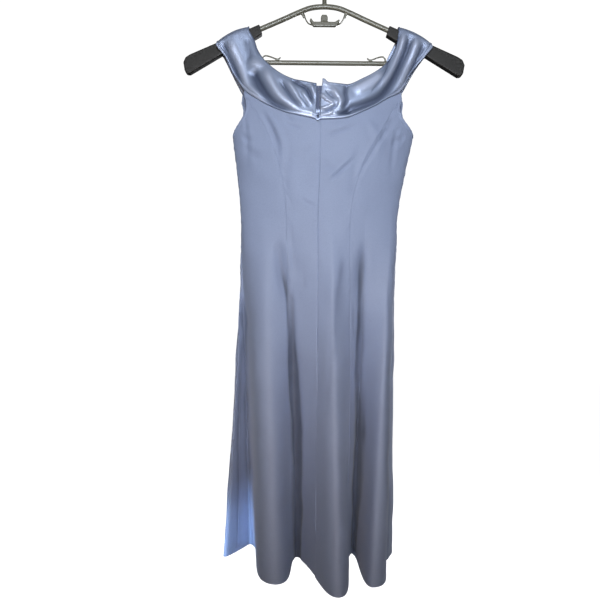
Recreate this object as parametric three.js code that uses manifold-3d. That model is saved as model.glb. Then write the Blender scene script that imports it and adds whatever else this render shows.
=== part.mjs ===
// A child's floor-length dress of seven gores with a broad satin collar, on a plastic hanger.
// Millimetres, +Z up, +X to the right and -Y towards someone who looks at the back of the dress.
// The origin is the inside of the hook's crown, where the rail carries the hanger.
import * as THREE from 'three';
import { mergeVertices } from 'three/addons/utils/BufferGeometryUtils.js';
import Module from 'manifold-3d';

const wasm = await Module();
wasm.setup();

// Cloth, in millimetres
const crepeWall = 1.2;
const satinWall = 2.2;
const tapeWall = 0.9;
const seamGap = 0.3;

// Heights
const waistZ = -425;
const hemZ = -958.5;
const chestZ = -246;
const underarmZ = -285;

// How the skirt opens from the waist's oval to the folded hem, and how the bodice's seams spread
const flareRamp = 1.15;
const seamSpread = 2.1;
const sidePinch = 1.15;

// Mesh steps
const bodiceSteps = 9;
const skirtSteps = 10;
const collarSteps = 22;
const bandSteps = 10;
const hemSamples = 900;

// The flat oval that the bodice fills: how far it reaches each way at each height
const bodySections = [
  { z: -425, left: -131.5, right: 112.5, back: 31, front: 34 },
  { z: -390, left: -134, right: 117, back: 32, front: 37 },
  { z: -354, left: -138, right: 125, back: 33, front: 40 },
  { z: -315, left: -142.5, right: 133, back: 33.8, front: 43 },
  { z: -278, left: -146, right: 140, back: 34, front: 44 },
  { z: -245, left: -145.5, right: 139.5, back: 31, front: 38 },
  { z: -205, left: -147, right: 140, back: 26, front: 30 },
];

// The folds of the hem, seen from above and taken round from the centre back to the right.
// faces is the way a crest looks: 0 back, 90 right, 180 front, 270 left.
// before and after say how steep the cloth drops on each side of the crest.
const hemFolds = [
  { name: 'backCentre', faces: 0, tipX: 14, tipY: -121, valleyX: 45, valleyY: 34, before: 0, after: 0.9 },
  { name: 'backRight', faces: 0, tipX: 65, tipY: -90, valleyX: 102, valleyY: 14, before: 1, after: 1.2 },
  { name: 'rightSide', faces: 90, tipX: 113, tipY: 44, valleyX: 84, valleyY: 62, before: 0, after: 0 },
  { name: 'frontRight', faces: 168, tipX: 74, tipY: 117, valleyX: 36, valleyY: 47, before: 0.2, after: 0.3 },
  { name: 'frontCentre', faces: 180, tipX: -2, tipY: 128, valleyX: -52, valleyY: 47, before: 0.3, after: 0.1 },
  { name: 'frontLeftInner', faces: 185, tipX: -84, tipY: 126, valleyX: -106, valleyY: 62, before: 0.3, after: 0 },
  { name: 'frontLeftOuter', faces: 190, tipX: -134, tipY: 117, valleyX: -156, valleyY: 70, before: 0, after: 0.2 },
  { name: 'leftSide', faces: 335, tipX: -162, tipY: 18, valleyX: -125, valleyY: 73, before: 0.2, after: 0 },
  { name: 'backLeft', faces: 360, tipX: -74, tipY: -80, valleyX: -46, valleyY: 16, before: 1.1, after: 1.1 },
];

// Seams from the centre back round to the right. waist and top are shares of the half width there,
// cap is the share at which a princess seam stops spreading, and fold, side and along place its foot on the hem.
const seams = [
  { name: 'centreBack', face: 'back', waist: -0.02, top: -0.043, cap: 0.06, fold: 'backCentre', side: 'before', along: 0.507 },
  { name: 'princessBackRight', face: 'back', waist: 0.384, top: 0.777, cap: 0.84, fold: 'backCentre', side: 'after', along: 0.6 },
  { name: 'sideRight', face: 'back', waist: 1, top: 1, cap: 1, fold: 'backRight', side: 'after', along: 0.75 },
  { name: 'princessFrontRight', face: 'front', waist: 0.4, top: 0.8, cap: 0.87, fold: 'frontCentre', side: 'before', along: 0.55 },
  { name: 'princessFrontLeft', face: 'front', waist: -0.4, top: -0.8, cap: 0.885, fold: 'frontLeftInner', side: 'after', along: 0.35 },
  { name: 'sideLeft', face: 'front', waist: -1, top: -1, cap: 1, fold: 'leftSide', side: 'after', along: 0.53 },
  { name: 'princessBackLeft', face: 'back', waist: -0.417, top: -0.76, cap: 0.85, fold: 'backLeft', side: 'after', along: 0.75 },
];

// Panels between those seams, with their mesh columns. edge says what the top edge follows: the collar,
// or an armhole that drops towards the side seam at the panel's start or end, as fast as drop says.
const panels = [
  { name: 'back_centre_right', columns: 12, edge: 'backRight' },
  { name: 'back_side_right', columns: 14, edge: 'armhole', lowAt: 'end', drop: 0.38 },
  { name: 'front_side_right', columns: 16, edge: 'armhole', lowAt: 'start', drop: 0.58 },
  { name: 'front_centre', columns: 12, edge: 'front' },
  { name: 'front_side_left', columns: 18, edge: 'armhole', lowAt: 'end', drop: 0.58 },
  { name: 'back_side_left', columns: 13, edge: 'armhole', lowAt: 'start', drop: 0.48 },
  { name: 'back_centre_left', columns: 9, edge: 'backLeft' },
];

// The collar band from the shoulder down to the middle: its neck edge and its free edge.
// neckY and edgeY are depths. A seated row lies on the bodice, which gives its free edge its depth.
// lift raises the middle of the band, where it arches over the hanger.
const collarBackLeft = [
  { neckX: -119.1, neckZ: -111.5, neckY: 0, edgeX: -170.9, edgeZ: -135.8, edgeY: 0, lift: 1.6 },
  { neckX: -111.1, neckZ: -135.9, neckY: -9.8, edgeX: -157.2, edgeZ: -162.9, edgeY: -9.6, lift: 1 },
  { neckX: -105.3, neckZ: -152.7, neckY: -11.6, edgeX: -144.5, edgeZ: -189.4, edgeY: -9.4, lift: 0 },
  { neckX: -95.8, neckZ: -168.3, neckY: -14.5, edgeX: -127.2, edgeZ: -214.6, seated: true, lift: 0 },
  { neckX: -82.8, neckZ: -181.9, neckY: -18.5, edgeX: -114.3, edgeZ: -226.2, seated: true, lift: 0 },
  { neckX: -66.9, neckZ: -194.2, neckY: -22.5, edgeX: -91, edgeZ: -241.5, seated: true, lift: 0 },
  { neckX: -50.9, neckZ: -202.2, neckY: -25.5, edgeX: -66, edgeZ: -254, seated: true, lift: 0 },
  { neckX: -35.1, neckZ: -206.2, neckY: -27.5, edgeX: -43, edgeZ: -260.4, seated: true, lift: 0 },
  { neckX: -22, neckZ: -209, neckY: -28.3, edgeX: -24, edgeZ: -264.8, seated: true, lift: 0 },
  { neckX: -14.2, neckZ: -210.3, neckY: -28.5, edgeX: -12.7, edgeZ: -268.3, seated: true, lift: 0 },
];
const collarBackRight = [
  { neckX: 115, neckZ: -112.2, neckY: 0, edgeX: 167.8, edgeZ: -138.8, edgeY: 0, lift: 1.6 },
  { neckX: 113.4, neckZ: -132.9, neckY: -9.8, edgeX: 155.8, edgeZ: -163.5, edgeY: -9.6, lift: 1 },
  { neckX: 109.5, neckZ: -151.7, neckY: -11.6, edgeX: 135.7, edgeZ: -187.1, edgeY: -9.4, lift: 0 },
  { neckX: 101.5, neckZ: -166, neckY: -14.5, edgeX: 116.5, edgeZ: -219, seated: true, lift: 0 },
  { neckX: 89, neckZ: -180.8, neckY: -18.5, edgeX: 95.2, edgeZ: -231.8, seated: true, lift: 0 },
  { neckX: 73.8, neckZ: -192.5, neckY: -22.5, edgeX: 77, edgeZ: -244, seated: true, lift: 0 },
  { neckX: 57.6, neckZ: -201.5, neckY: -25.5, edgeX: 57.2, edgeZ: -254, seated: true, lift: 0 },
  { neckX: 37.8, neckZ: -211, neckY: -27.5, edgeX: 36, edgeZ: -263.4, seated: true, lift: 0 },
  { neckX: 22, neckZ: -210.8, neckY: -28.3, edgeX: 17.9, edgeZ: -266.7, seated: true, lift: 0 },
  { neckX: 3, neckZ: -208.6, neckY: -28.5, edgeX: 1.2, edgeZ: -267.4, seated: true, lift: 0 },
  { neckX: -4.7, neckZ: -208.6, neckY: -28.5, edgeX: -10.9, edgeZ: -268.3, seated: true, lift: 0 },
];
const collarFront = [
  { neckX: -119.1, neckZ: -111.5, neckY: 0, edgeX: -170.9, edgeZ: -135.8, edgeY: 0, lift: 1.6 },
  { neckX: -111.5, neckZ: -136.5, neckY: 9.8, edgeX: -161.5, edgeZ: -157.5, edgeY: 9.6, lift: 1 },
  { neckX: -106, neckZ: -155, neckY: 11.6, edgeX: -148.6, edgeZ: -183, edgeY: 9.6, lift: 0 },
  { neckX: -97, neckZ: -174, neckY: 15, edgeX: -132, edgeZ: -213, seated: true, lift: 0 },
  { neckX: -82, neckZ: -197, neckY: 20.5, edgeX: -113, edgeZ: -241, seated: true, lift: 0 },
  { neckX: -62, neckZ: -217, neckY: 26, edgeX: -86, edgeZ: -266, seated: true, lift: 0 },
  { neckX: -40, neckZ: -231, neckY: 30, edgeX: -54, edgeZ: -285, seated: true, lift: 0 },
  { neckX: -18, neckZ: -238.5, neckY: 32.5, edgeX: -24, edgeZ: -296, seated: true, lift: 0 },
  { neckX: -2, neckZ: -240.5, neckY: 33, edgeX: -2, edgeZ: -298.5, seated: true, lift: 0 },
  { neckX: 15, neckZ: -238.5, neckY: 32.5, edgeX: 20, edgeZ: -296, seated: true, lift: 0 },
  { neckX: 37, neckZ: -231, neckY: 30, edgeX: 49, edgeZ: -285, seated: true, lift: 0 },
  { neckX: 58, neckZ: -216, neckY: 26, edgeX: 79, edgeZ: -266, seated: true, lift: 0 },
  { neckX: 78, neckZ: -196, neckY: 20.5, edgeX: 104, edgeZ: -241, seated: true, lift: 0 },
  { neckX: 92, neckZ: -174, neckY: 15, edgeX: 122, edgeZ: -215, seated: true, lift: 0 },
  { neckX: 103, neckZ: -152, neckY: 11.6, edgeX: 142, edgeZ: -181, edgeY: 9.6, lift: 0 },
  { neckX: 112, neckZ: -133.5, neckY: 9.8, edgeX: 158.8, edgeZ: -158, edgeY: 9.6, lift: 1 },
  { neckX: 115, neckZ: -112.2, neckY: 0, edgeX: 167.8, edgeZ: -138.8, edgeY: 0, lift: 1.6 },
];

// Soft ridges of the satin. from and to are shares of the way along the band, start and end are shares of
// the way across it, and half is the ridge's half width as a share of the band.
const ridgesLeft = [
  { from: 0.02, to: 1, start: 0.3, end: 0.52, half: 0.12, height: 2.2 },
  { from: 0.02, to: 1, start: 0.62, end: 0.76, half: 0.13, height: 2.6 },
  { from: 0.3, to: 1, start: 0.12, end: 0.28, half: 0.1, height: 1.8 },
];
const ridgesRight = [
  { from: 0.02, to: 0.62, start: 0.22, end: 0.3, half: 0.12, height: 2.2 },
  { from: 0.02, to: 0.8, start: 0.55, end: 0.5, half: 0.14, height: 2.4 },
  { from: 0.5, to: 1, start: 0.82, end: 0.9, half: 0.1, height: 1.6 },
];
const ridgesFront = [
  { from: 0.02, to: 0.98, start: 0.3, end: 0.3, half: 0.12, height: 2 },
  { from: 0.02, to: 0.98, start: 0.66, end: 0.66, half: 0.13, height: 2.2 },
];
const bandPuff = 4;
const collarOverlap = 4;
const wrapRadius = 9.3;
const wrapAngles = [30, 60, 90];

// Centre back zip
const tapeGap = 0.6;
const zipTopZ = -213;
const zipFootZ = -470;
const tapeWidth = 11;
const sliderX = -12.1;
const sliderZ = -256.5;
const sliderWidth = 6;
const sliderLength = 8.4;
const bridgeReach = 3.1;
const bridgeRise = 2.8;
const bridgeWidth = 1.7;
const bridgeWall = 0.8;
const pullLength = 13;
const pullWall = 1;
const pivotDrop = 1.2;

// Hanger
const hangerTilt = 0.6;
const armTop = [
  { x: 100.1, z: -115.9 }, { x: 66, z: -100.9 }, { x: 40, z: -89 }, { x: 21, z: -81.9 }, { x: 0, z: -79.8 },
];
const armThickness = 8;
const rodThickness = 7;
const hookRadius = 20;
const barZ = -169;
const barReach = 130;
const barThickness = 7.6;
const gripOutline = [
  { x: 102.6, z: -110.6 }, { x: 169.4, z: -140.3 }, { x: 211, z: -158.7 }, { x: 218.4, z: -163.6 },
  { x: 221.8, z: -171.5 }, { x: 219.6, z: -184.6 }, { x: 216.6, z: -189 }, { x: 211, z: -189.2 },
  { x: 160, z: -158.2 }, { x: 110, z: -133.2 }, { x: 97.6, z: -125.6 },
];
const gripThickness = 12;

const materials = {
  crepe: new THREE.MeshStandardMaterial({ color: 0x8f9cc4, roughness: 0.75, metalness: 0 }),
  satin: new THREE.MeshStandardMaterial({ color: 0x97a6d2, roughness: 0.3, metalness: 0 }),
  tape: new THREE.MeshStandardMaterial({ color: 0x7c89b4, roughness: 0.8, metalness: 0 }),
  zipMetal: new THREE.MeshStandardMaterial({ color: 0x7d8ab5, roughness: 0.4, metalness: 0.3 }),
  smokyPlastic: new THREE.MeshStandardMaterial({ color: 0x8b8a80, roughness: 0.25, metalness: 0 }),
  blackGrip: new THREE.MeshStandardMaterial({ color: 0x2e2c2b, roughness: 0.6, metalness: 0 }),
};

const { lerp, clamp, degToRad } = THREE.MathUtils;
const dress = new THREE.Group();
const hanger = new THREE.Group();
const product = new THREE.Group();

// Reads a table smoothly between its rows and gives every number column at one value of the key.
function readTable(rows, key, at) {
  const last = rows.length - 1;
  let i = 0;
  while (i < last - 1 && at > rows[i + 1][key]) i += 1;
  const a = rows[i];
  const b = rows[i + 1];
  const before = rows[Math.max(i - 1, 0)];
  const after = rows[Math.min(i + 2, last)];
  const span = b[key] - a[key];
  const s = clamp((at - a[key]) / span, 0, 1);
  const result = {};
  for (const column of Object.keys(a)) {
    const slopeA = (b[column] - before[column]) / (b[key] - before[key]) * span;
    const slopeB = (after[column] - a[column]) / (after[key] - a[key]) * span;
    const rise = b[column] - a[column];
    const bend = (slopeA - rise) * (1 - s) + (rise - slopeB) * s;
    result[column] = a[column] + rise * s + bend * s * (1 - s);
  }
  return result;
}

// A half of a fold of the hem, from its crest at 0 to a valley at 1.
function foldPoint(fold, valley, steep, along) {
  const angle = degToRad(fold.faces);
  const out = new THREE.Vector2(Math.sin(angle), -Math.cos(angle));
  const tangent = new THREE.Vector2(Math.cos(angle), Math.sin(angle));
  const tip = new THREE.Vector2(fold.tipX, fold.tipY);
  const drop = valley.clone().sub(tip);
  const turn = Math.PI * along;
  const sideways = along + steep * (0.6 * Math.sin(2 * turn) / (2 * Math.PI) + 0.5 * Math.sin(turn) / Math.PI);
  return tip
    .addScaledVector(out, drop.dot(out) * (1 - Math.cos(turn)) / 2)
    .addScaledVector(tangent, drop.dot(tangent) * sideways);
}

function foldSide(index, side, along) {
  const fold = hemFolds[index];
  const holder = side === 'after' ? fold : hemFolds[(index + hemFolds.length - 1) % hemFolds.length];
  return foldPoint(fold, new THREE.Vector2(holder.valleyX, holder.valleyY), fold[side], along);
}

// The hem as a closed line of evenly spaced points, with its creases rounded.
function hemLine() {
  const stepsPerSide = 40;
  const roundings = 5;
  const raw = [];
  hemFolds.forEach((fold, index) => {
    for (let i = stepsPerSide; i > 0; i -= 1) raw.push(foldSide(index, 'before', i / stepsPerSide));
    for (let i = 0; i < stepsPerSide; i += 1) raw.push(foldSide(index, 'after', i / stepsPerSide));
  });
  let points = spaceEvenly(raw, hemSamples);
  for (let round = 0; round < roundings; round += 1) {
    points = points.map((point, i) => {
      const before = points[(i + hemSamples - 1) % hemSamples];
      const after = points[(i + 1) % hemSamples];
      return point.clone().multiplyScalar(2).add(before).add(after).multiplyScalar(0.25);
    });
  }
  return spaceEvenly(points, hemSamples);
}

function spaceEvenly(points, count) {
  const closed = [...points, points[0]];
  const lengths = [0];
  for (let i = 1; i < closed.length; i += 1) lengths.push(lengths[i - 1] + closed[i].distanceTo(closed[i - 1]));
  const total = lengths.at(-1);
  const result = [];
  let j = 0;
  for (let i = 0; i < count; i += 1) {
    const target = total * i / count;
    while (lengths[j + 1] < target) j += 1;
    result.push(closed[j].clone().lerp(closed[j + 1], (target - lengths[j]) / (lengths[j + 1] - lengths[j])));
  }
  return result;
}

const hem = hemLine();

function hemAt(place) {
  const wrapped = ((place % hemSamples) + hemSamples) % hemSamples;
  const i = Math.floor(wrapped);
  return hem[i].clone().lerp(hem[(i + 1) % hemSamples], wrapped - i);
}

// Where each seam meets the hem, as a count of samples that grows all the way round.
const seamFeet = seams.map((seam) => {
  const index = hemFolds.findIndex((fold) => fold.name === seam.fold);
  const foot = foldSide(index, seam.side, seam.along);
  let nearest = 0;
  hem.forEach((point, i) => {
    if (point.distanceTo(foot) < hem[nearest].distanceTo(foot)) nearest = i;
  });
  return nearest;
});
seamFeet.push(seamFeet[0]);
for (let i = 1; i < seamFeet.length; i += 1) {
  while (seamFeet[i] <= seamFeet[i - 1]) seamFeet[i] += hemSamples;
}

function seamAngle(index, z) {
  const seam = seams[index % seams.length];
  const rise = Math.max(0, (z - waistZ) / (chestZ - waistZ)) ** seamSpread;
  const spread = seam.waist + (seam.top - seam.waist) * rise;
  const share = clamp(spread, -seam.cap, seam.cap);
  if (seam.face === 'front') return Math.PI - Math.asin(share);
  const lapsOver = index > seams.length / 2;
  return Math.asin(share) + (lapsOver ? 2 * Math.PI : 0);
}

function ovalPoint(angle, z) {
  const section = readTable(bodySections, 'z', z);
  const half = (section.right - section.left) / 2;
  const cosine = Math.cos(angle);
  const depth = cosine > 0 ? section.back : section.front;
  const y = -Math.sign(cosine) * depth * Math.abs(cosine) ** sidePinch;
  return new THREE.Vector3((section.right + section.left) / 2 + half * Math.sin(angle), y, z);
}

// A point of the dress. around is 0 at the centre back seam, 1 at the next seam and so on.
function dressPoint(around, z) {
  const wrapped = ((around % seams.length) + seams.length) % seams.length;
  const index = Math.min(Math.floor(wrapped), seams.length - 1);
  const part = wrapped - index;
  const angle = lerp(seamAngle(index, z), seamAngle(index + 1, z), part);
  const point = ovalPoint(angle, Math.max(z, waistZ));
  point.z = z;
  if (z >= waistZ) return point;
  const flare = ((waistZ - z) / (waistZ - hemZ)) ** flareRamp;
  const foot = hemAt(lerp(seamFeet[index], seamFeet[index + 1], part));
  return point.lerp(new THREE.Vector3(foot.x, foot.y, z), flare);
}

// The way a surface faces, from how its point moves with its two numbers.
function facing(pointAt, a, b, stepA, stepB) {
  const alongA = pointAt(a + stepA, b).sub(pointAt(a - stepA, b));
  const alongB = pointAt(a, b + stepB).sub(pointAt(a, b - stepB));
  return alongA.cross(alongB).normalize();
}

function dressFacing(around, z) {
  return facing(dressPoint, around, z, 0.02, 2);
}

// Closes a sheet into a solid wall. sheetAt gives the outer and inner point at each step.
function wallGeometry(across, down, sheetAt) {
  const positions = [];
  const faces = [];
  const at = (side, i, j) => side * (across + 1) * (down + 1) + j * (across + 1) + i;
  for (const side of ['outer', 'inner']) {
    for (let j = 0; j <= down; j += 1) {
      for (let i = 0; i <= across; i += 1) positions.push(...sheetAt(i, j)[side].toArray());
    }
  }
  const quad = (a, b, c, d) => faces.push(a, b, c, a, c, d);
  for (let j = 0; j < down; j += 1) {
    for (let i = 0; i < across; i += 1) {
      quad(at(0, i, j), at(0, i, j + 1), at(0, i + 1, j + 1), at(0, i + 1, j));
      quad(at(1, i, j), at(1, i + 1, j), at(1, i + 1, j + 1), at(1, i, j + 1));
    }
  }
  for (let i = 0; i < across; i += 1) {
    quad(at(0, i, 0), at(0, i + 1, 0), at(1, i + 1, 0), at(1, i, 0));
    quad(at(0, i, down), at(1, i, down), at(1, i + 1, down), at(0, i + 1, down));
  }
  for (let j = 0; j < down; j += 1) {
    quad(at(0, 0, j), at(1, 0, j), at(1, 0, j + 1), at(0, 0, j + 1));
    quad(at(0, across, j), at(0, across, j + 1), at(1, across, j + 1), at(1, across, j));
  }
  return facesOut(positions, faces);
}

function facesOut(positions, faces) {
  const corner = (i) => new THREE.Vector3(...positions.slice(3 * i, 3 * i + 3));
  let volume = 0;
  for (let i = 0; i < faces.length; i += 3) {
    volume += corner(faces[i]).dot(corner(faces[i + 1]).cross(corner(faces[i + 2])));
  }
  if (volume < 0) faces.reverse();
  const geometry = new THREE.BufferGeometry();
  geometry.setAttribute('position', new THREE.Float32BufferAttribute(positions, 3));
  geometry.setIndex(faces);
  return geometry;
}

function addPiece(group, name, geometry, material) {
  const mesh = new THREE.Mesh(geometry, material);
  mesh.name = name;
  group.add(mesh);
  return mesh;
}

// Shares of a panel's width at its columns, closer together where the hem turns sharply.
function columnShares(index, count) {
  const turnWeight = 14;
  const steps = 240;
  const from = seamFeet[index];
  const span = seamFeet[index + 1] - from;
  const weights = [0];
  for (let i = 1; i <= steps; i += 1) {
    const here = from + span * i / steps;
    const reach = span / steps;
    const before = hemAt(here).sub(hemAt(here - reach));
    const after = hemAt(here + reach).sub(hemAt(here));
    const turn = Math.abs(Math.atan2(before.cross(after), before.dot(after)));
    weights.push(weights[i - 1] + before.length() + turnWeight * turn);
  }
  const shares = [];
  let j = 0;
  for (let i = 0; i <= count; i += 1) {
    const target = weights[steps] * i / count;
    while (j < steps - 1 && weights[j + 1] < target) j += 1;
    shares.push(clamp((j + (target - weights[j]) / (weights[j + 1] - weights[j])) / steps, 0, 1));
  }
  shares[0] = 0;
  shares[count] = 1;
  return shares;
}

// Height of the collar's free edge over a place, from the rows of one side of the collar.
function collarEdgeZ(rows, x) {
  const places = rows.map((row) => ({ x: row.edgeX, z: row.edgeZ })).sort((a, b) => a.x - b.x);
  return readTable(places, 'x', x).z;
}

const collarTables = { backLeft: collarBackLeft, backRight: collarBackRight, front: collarFront };

// Height of a panel's top edge at a share of its width.
function topEdgeZ(index, share) {
  const panel = panels[index];
  if (panel.edge !== 'armhole') {
    let z = chestZ;
    const rounds = 12;
    for (let i = 0; i < rounds; i += 1) {
      const x = dressPoint(index + clamp(share, 0.001, 0.999), z).x;
      z = lerp(z, collarEdgeZ(collarTables[panel.edge], x) + collarOverlap, 0.7);
    }
    return z;
  }
  const neighbour = panel.lowAt === 'end' ? index - 1 : index + 1;
  const top = topEdgeZ(neighbour, panel.lowAt === 'end' ? 1 : 0);
  const fromSeam = panel.lowAt === 'end' ? share : 1 - share;
  return lerp(top, underarmZ, fromSeam ** panel.drop);
}

function addPanel(index) {
  const { name, columns } = panels[index];
  const shares = columnShares(index, columns);
  const tops = shares.map((share) => topEdgeZ(index, share));
  const gapShare = (end, z) => {
    const near = end === 0 ? index + 0.02 : index + 0.98;
    const width = dressPoint(index + end, z).distanceTo(dressPoint(near, z)) / 0.02;
    return seamGap / 2 / width;
  };
  const sheetAt = (i, j) => {
    const inBodice = j <= bodiceSteps;
    const z = inBodice
      ? lerp(tops[i], waistZ, j / bodiceSteps)
      : lerp(waistZ, hemZ, (j - bodiceSteps) / skirtSteps);
    let share = shares[i];
    if (i === 0) share = gapShare(0, z);
    if (i === columns) share = 1 - gapShare(1, z);
    const point = dressPoint(index + share, z);
    const out = dressFacing(index + shares[i], z).multiplyScalar(crepeWall / 2);
    out.z = 0;
    return { outer: point.clone().add(out), inner: point.clone().sub(out) };
  };
  addPiece(dress, name, wallGeometry(columns, bodiceSteps + skirtSteps, sheetAt), materials.crepe);
}

// Turns a collar table into lines across the band, in order along it: neck point and free edge point.
function collarLines(rows) {
  const seat = crepeWall / 2 + seamGap + satinWall / 2;
  const lines = [];
  rows.forEach((row) => {
    const neck = new THREE.Vector3(row.neckX, row.neckY, row.neckZ);
    const edge = new THREE.Vector3(row.edgeX, row.edgeY ?? 0, row.edgeZ);
    if (row.seated) {
      const section = readTable(bodySections, 'z', row.edgeZ);
      const share = (row.edgeX - (section.left + section.right) / 2) / ((section.right - section.left) / 2);
      const angle = row.neckY < 0 ? Math.asin(share) : Math.PI - Math.asin(share);
      edge.copy(ovalPoint(angle, row.edgeZ));
      edge.addScaledVector(facing(ovalPoint, angle, row.edgeZ, 0.02, 2), seat);
      edge.z = row.edgeZ;
    }
    const isRidge = !row.seated && row.edgeY === 0;
    if (!isRidge) {
      lines.push({ neck, edge, lift: row.lift });
      return;
    }
    neck.z -= satinWall / 2;
    edge.z -= satinWall / 2;
    lines.push({ neck, edge, lift: row.lift, ridge: true });
  });
  return lines;
}

// Rolls the band over the hanger: short steps of a quarter circle next to each shoulder line.
function rollShoulders(lines, side) {
  const rolled = [];
  lines.forEach((line) => {
    const steps = line.ridge
      ? wrapAngles.map((degrees) => {
        const angle = degToRad(degrees);
        const shift = new THREE.Vector3(0, side * wrapRadius * Math.sin(angle), -wrapRadius * (1 - Math.cos(angle)));
        return { neck: line.neck.clone().add(shift), edge: line.edge.clone().add(shift), lift: line.lift };
      })
      : [];
    const isLast = line.ridge && rolled.length > 0;
    if (isLast) rolled.push(...steps.reverse());
    if (line.ridge) {
      const halfGap = new THREE.Vector3(0, side * seamGap / 2, 0);
      line.neck.add(halfGap);
      line.edge.add(halfGap);
    }
    rolled.push(line);
    if (!isLast) rolled.push(...steps);
  });
  return rolled;
}

function ridgeHeight(ridges, along, across) {
  let height = 0;
  for (const ridge of ridges) {
    const inside = clamp((along - ridge.from) / (ridge.to - ridge.from), 0, 1);
    const fade = Math.min(1, 5 * Math.min(along - ridge.from + 0.02, ridge.to - along + 0.12));
    const distance = (across - lerp(ridge.start, ridge.end, inside)) / ridge.half;
    if (fade > 0) height += ridge.height * fade * Math.exp(-distance * distance);
  }
  return height;
}

// Builds one stretch of the collar band.
function addCollar(name, table, side, ridges, steps, zipSide) {
  const lines = rollShoulders(collarLines(table), side);
  const rows = lines.map((line, i) => ({ i, ...line }));
  const columns = rows.map(({ i, neck, edge, lift }) => ({
    i, neckX: neck.x, neckY: neck.y, neckZ: neck.z, edgeX: edge.x, edgeY: edge.y, edgeZ: edge.z, lift,
  }));
  const last = columns.length - 1;
  const basePoint = (along, across) => {
    const c = readTable(columns, 'i', clamp(along, 0, 1) * last);
    const point = new THREE.Vector3(
      lerp(c.neckX, c.edgeX, across), lerp(c.neckY, c.edgeY, across), lerp(c.neckZ, c.edgeZ, across));
    point.z += c.lift * Math.sin(Math.PI * clamp(across, 0, 1));
    return point;
  };
  const outward = (along, across) => {
    const normal = facing(basePoint, clamp(along, 0.004, 0.996), across, 0.004, 0.02);
    return normal.y * side < 0 && Math.abs(normal.y) > 0.02 ? normal.negate() : normal;
  };
  const sheetAt = (i, j) => {
    const along = i / steps;
    const across = j / bandSteps;
    const point = basePoint(along, across);
    const out = outward(along, across);
    const onShoulder = i === 0 || (i === steps && !zipSide);
    if (onShoulder) {
      out.y = 0;
      out.normalize();
      if (out.z < 0) out.negate();
    }
    const shoulder = Math.min(1, 3 * Math.min(along, zipSide ? 1 : 1 - along));
    const nearZip = zipSide ? Math.min(1, 0.25 + 5 * (1 - along)) : 1;
    const rise = Math.sin(Math.PI * across);
    const relief = (bandPuff + ridgeHeight(ridges, along, across)) * rise * shoulder * nearZip;
    point.addScaledVector(out, relief);
    if (zipSide && i === steps) point.x = zipEdgeX(zipSide, point.z);
    const half = satinWall / 2;
    return { outer: point.clone().addScaledVector(out, half), inner: point.clone().addScaledVector(out, -half) };
  };
  addPiece(dress, name, wallGeometry(steps, bandSteps, sheetAt), materials.satin);
}

// The collar's edges beside the zip: apart at the neck, pushed open by the slider, nearly closed below it.
function zipEdgeX(zipSide, z) {
  const opening = [
    { z: -268.3, left: -12.7, right: -10.9 },
    { z: -262, left: -15.4, right: -8.8 },
    { z: -250.5, left: -15.6, right: -8.7 },
    { z: -238, left: -14.6, right: -8.2 },
    { z: -208, left: -14.2, right: -4.7 },
  ];
  return readTable(opening, 'z', z)[zipSide];
}

function zipLineX(z) {
  return ovalPoint(seamAngle(0, z), z).x;
}

// A zip tape inside the back, one edge at the centre back seam.
function addTape(name, direction) {
  const depth = crepeWall / 2 + tapeGap + tapeWall / 2;
  const across = 2;
  const down = 12;
  const sheetAt = (i, j) => {
    const z = lerp(zipTopZ, zipFootZ, j / down);
    const parting = lerp(0.4, seamGap / 2, clamp((zipTopZ - z) / (zipTopZ - sliderZ), 0, 1));
    const x = zipLineX(z) + direction * lerp(parting, tapeWidth, i / across);
    const section = readTable(bodySections, 'z', z);
    const share = (x - (section.left + section.right) / 2) / ((section.right - section.left) / 2);
    const angle = Math.asin(share);
    const out = facing(ovalPoint, angle, z, 0.02, 2);
    const point = ovalPoint(angle, z).addScaledVector(out, -depth);
    const half = out.multiplyScalar(tapeWall / 2);
    return { outer: point.clone().add(half), inner: point.clone().sub(half) };
  };
  addPiece(dress, name, wallGeometry(across, down, sheetAt), materials.tape);
}

function toManifold(geometry) {
  const bare = geometry.clone();
  bare.deleteAttribute('normal');
  bare.deleteAttribute('uv');
  const merged = mergeVertices(bare, 1e-4);
  return new wasm.Manifold(new wasm.Mesh({
    numProp: 3, vertProperties: merged.attributes.position.array, triVerts: Uint32Array.from(merged.index.array),
  }));
}

function fromManifold(manifold) {
  const mesh = manifold.getMesh();
  const geometry = new THREE.BufferGeometry();
  geometry.setAttribute('position', new THREE.BufferAttribute(Float32Array.from(mesh.vertProperties), 3));
  geometry.setIndex(Array.from(mesh.triVerts));
  return geometry;
}

function join(geometries) {
  return fromManifold(geometries.map(toManifold).reduce((whole, next) => whole.add(next)));
}

// A round or oval rod along points of the X-Z plane.
function rod(points, thickness, depth, sides, steps) {
  const path = new THREE.CatmullRomCurve3(points.map(({ x, z }) => new THREE.Vector3(x, 0, z)), false, 'centripetal');
  const section = new THREE.Shape();
  for (let i = 0; i < sides; i += 1) {
    const angle = 2 * Math.PI * (i + 0.5) / sides;
    const corner = [depth / 2 * Math.cos(angle), thickness / 2 * Math.sin(angle)];
    if (i === 0) section.moveTo(...corner);
    else section.lineTo(...corner);
  }
  return new THREE.ExtrudeGeometry(section, { steps, extrudePath: path, bevelEnabled: false });
}

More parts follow.
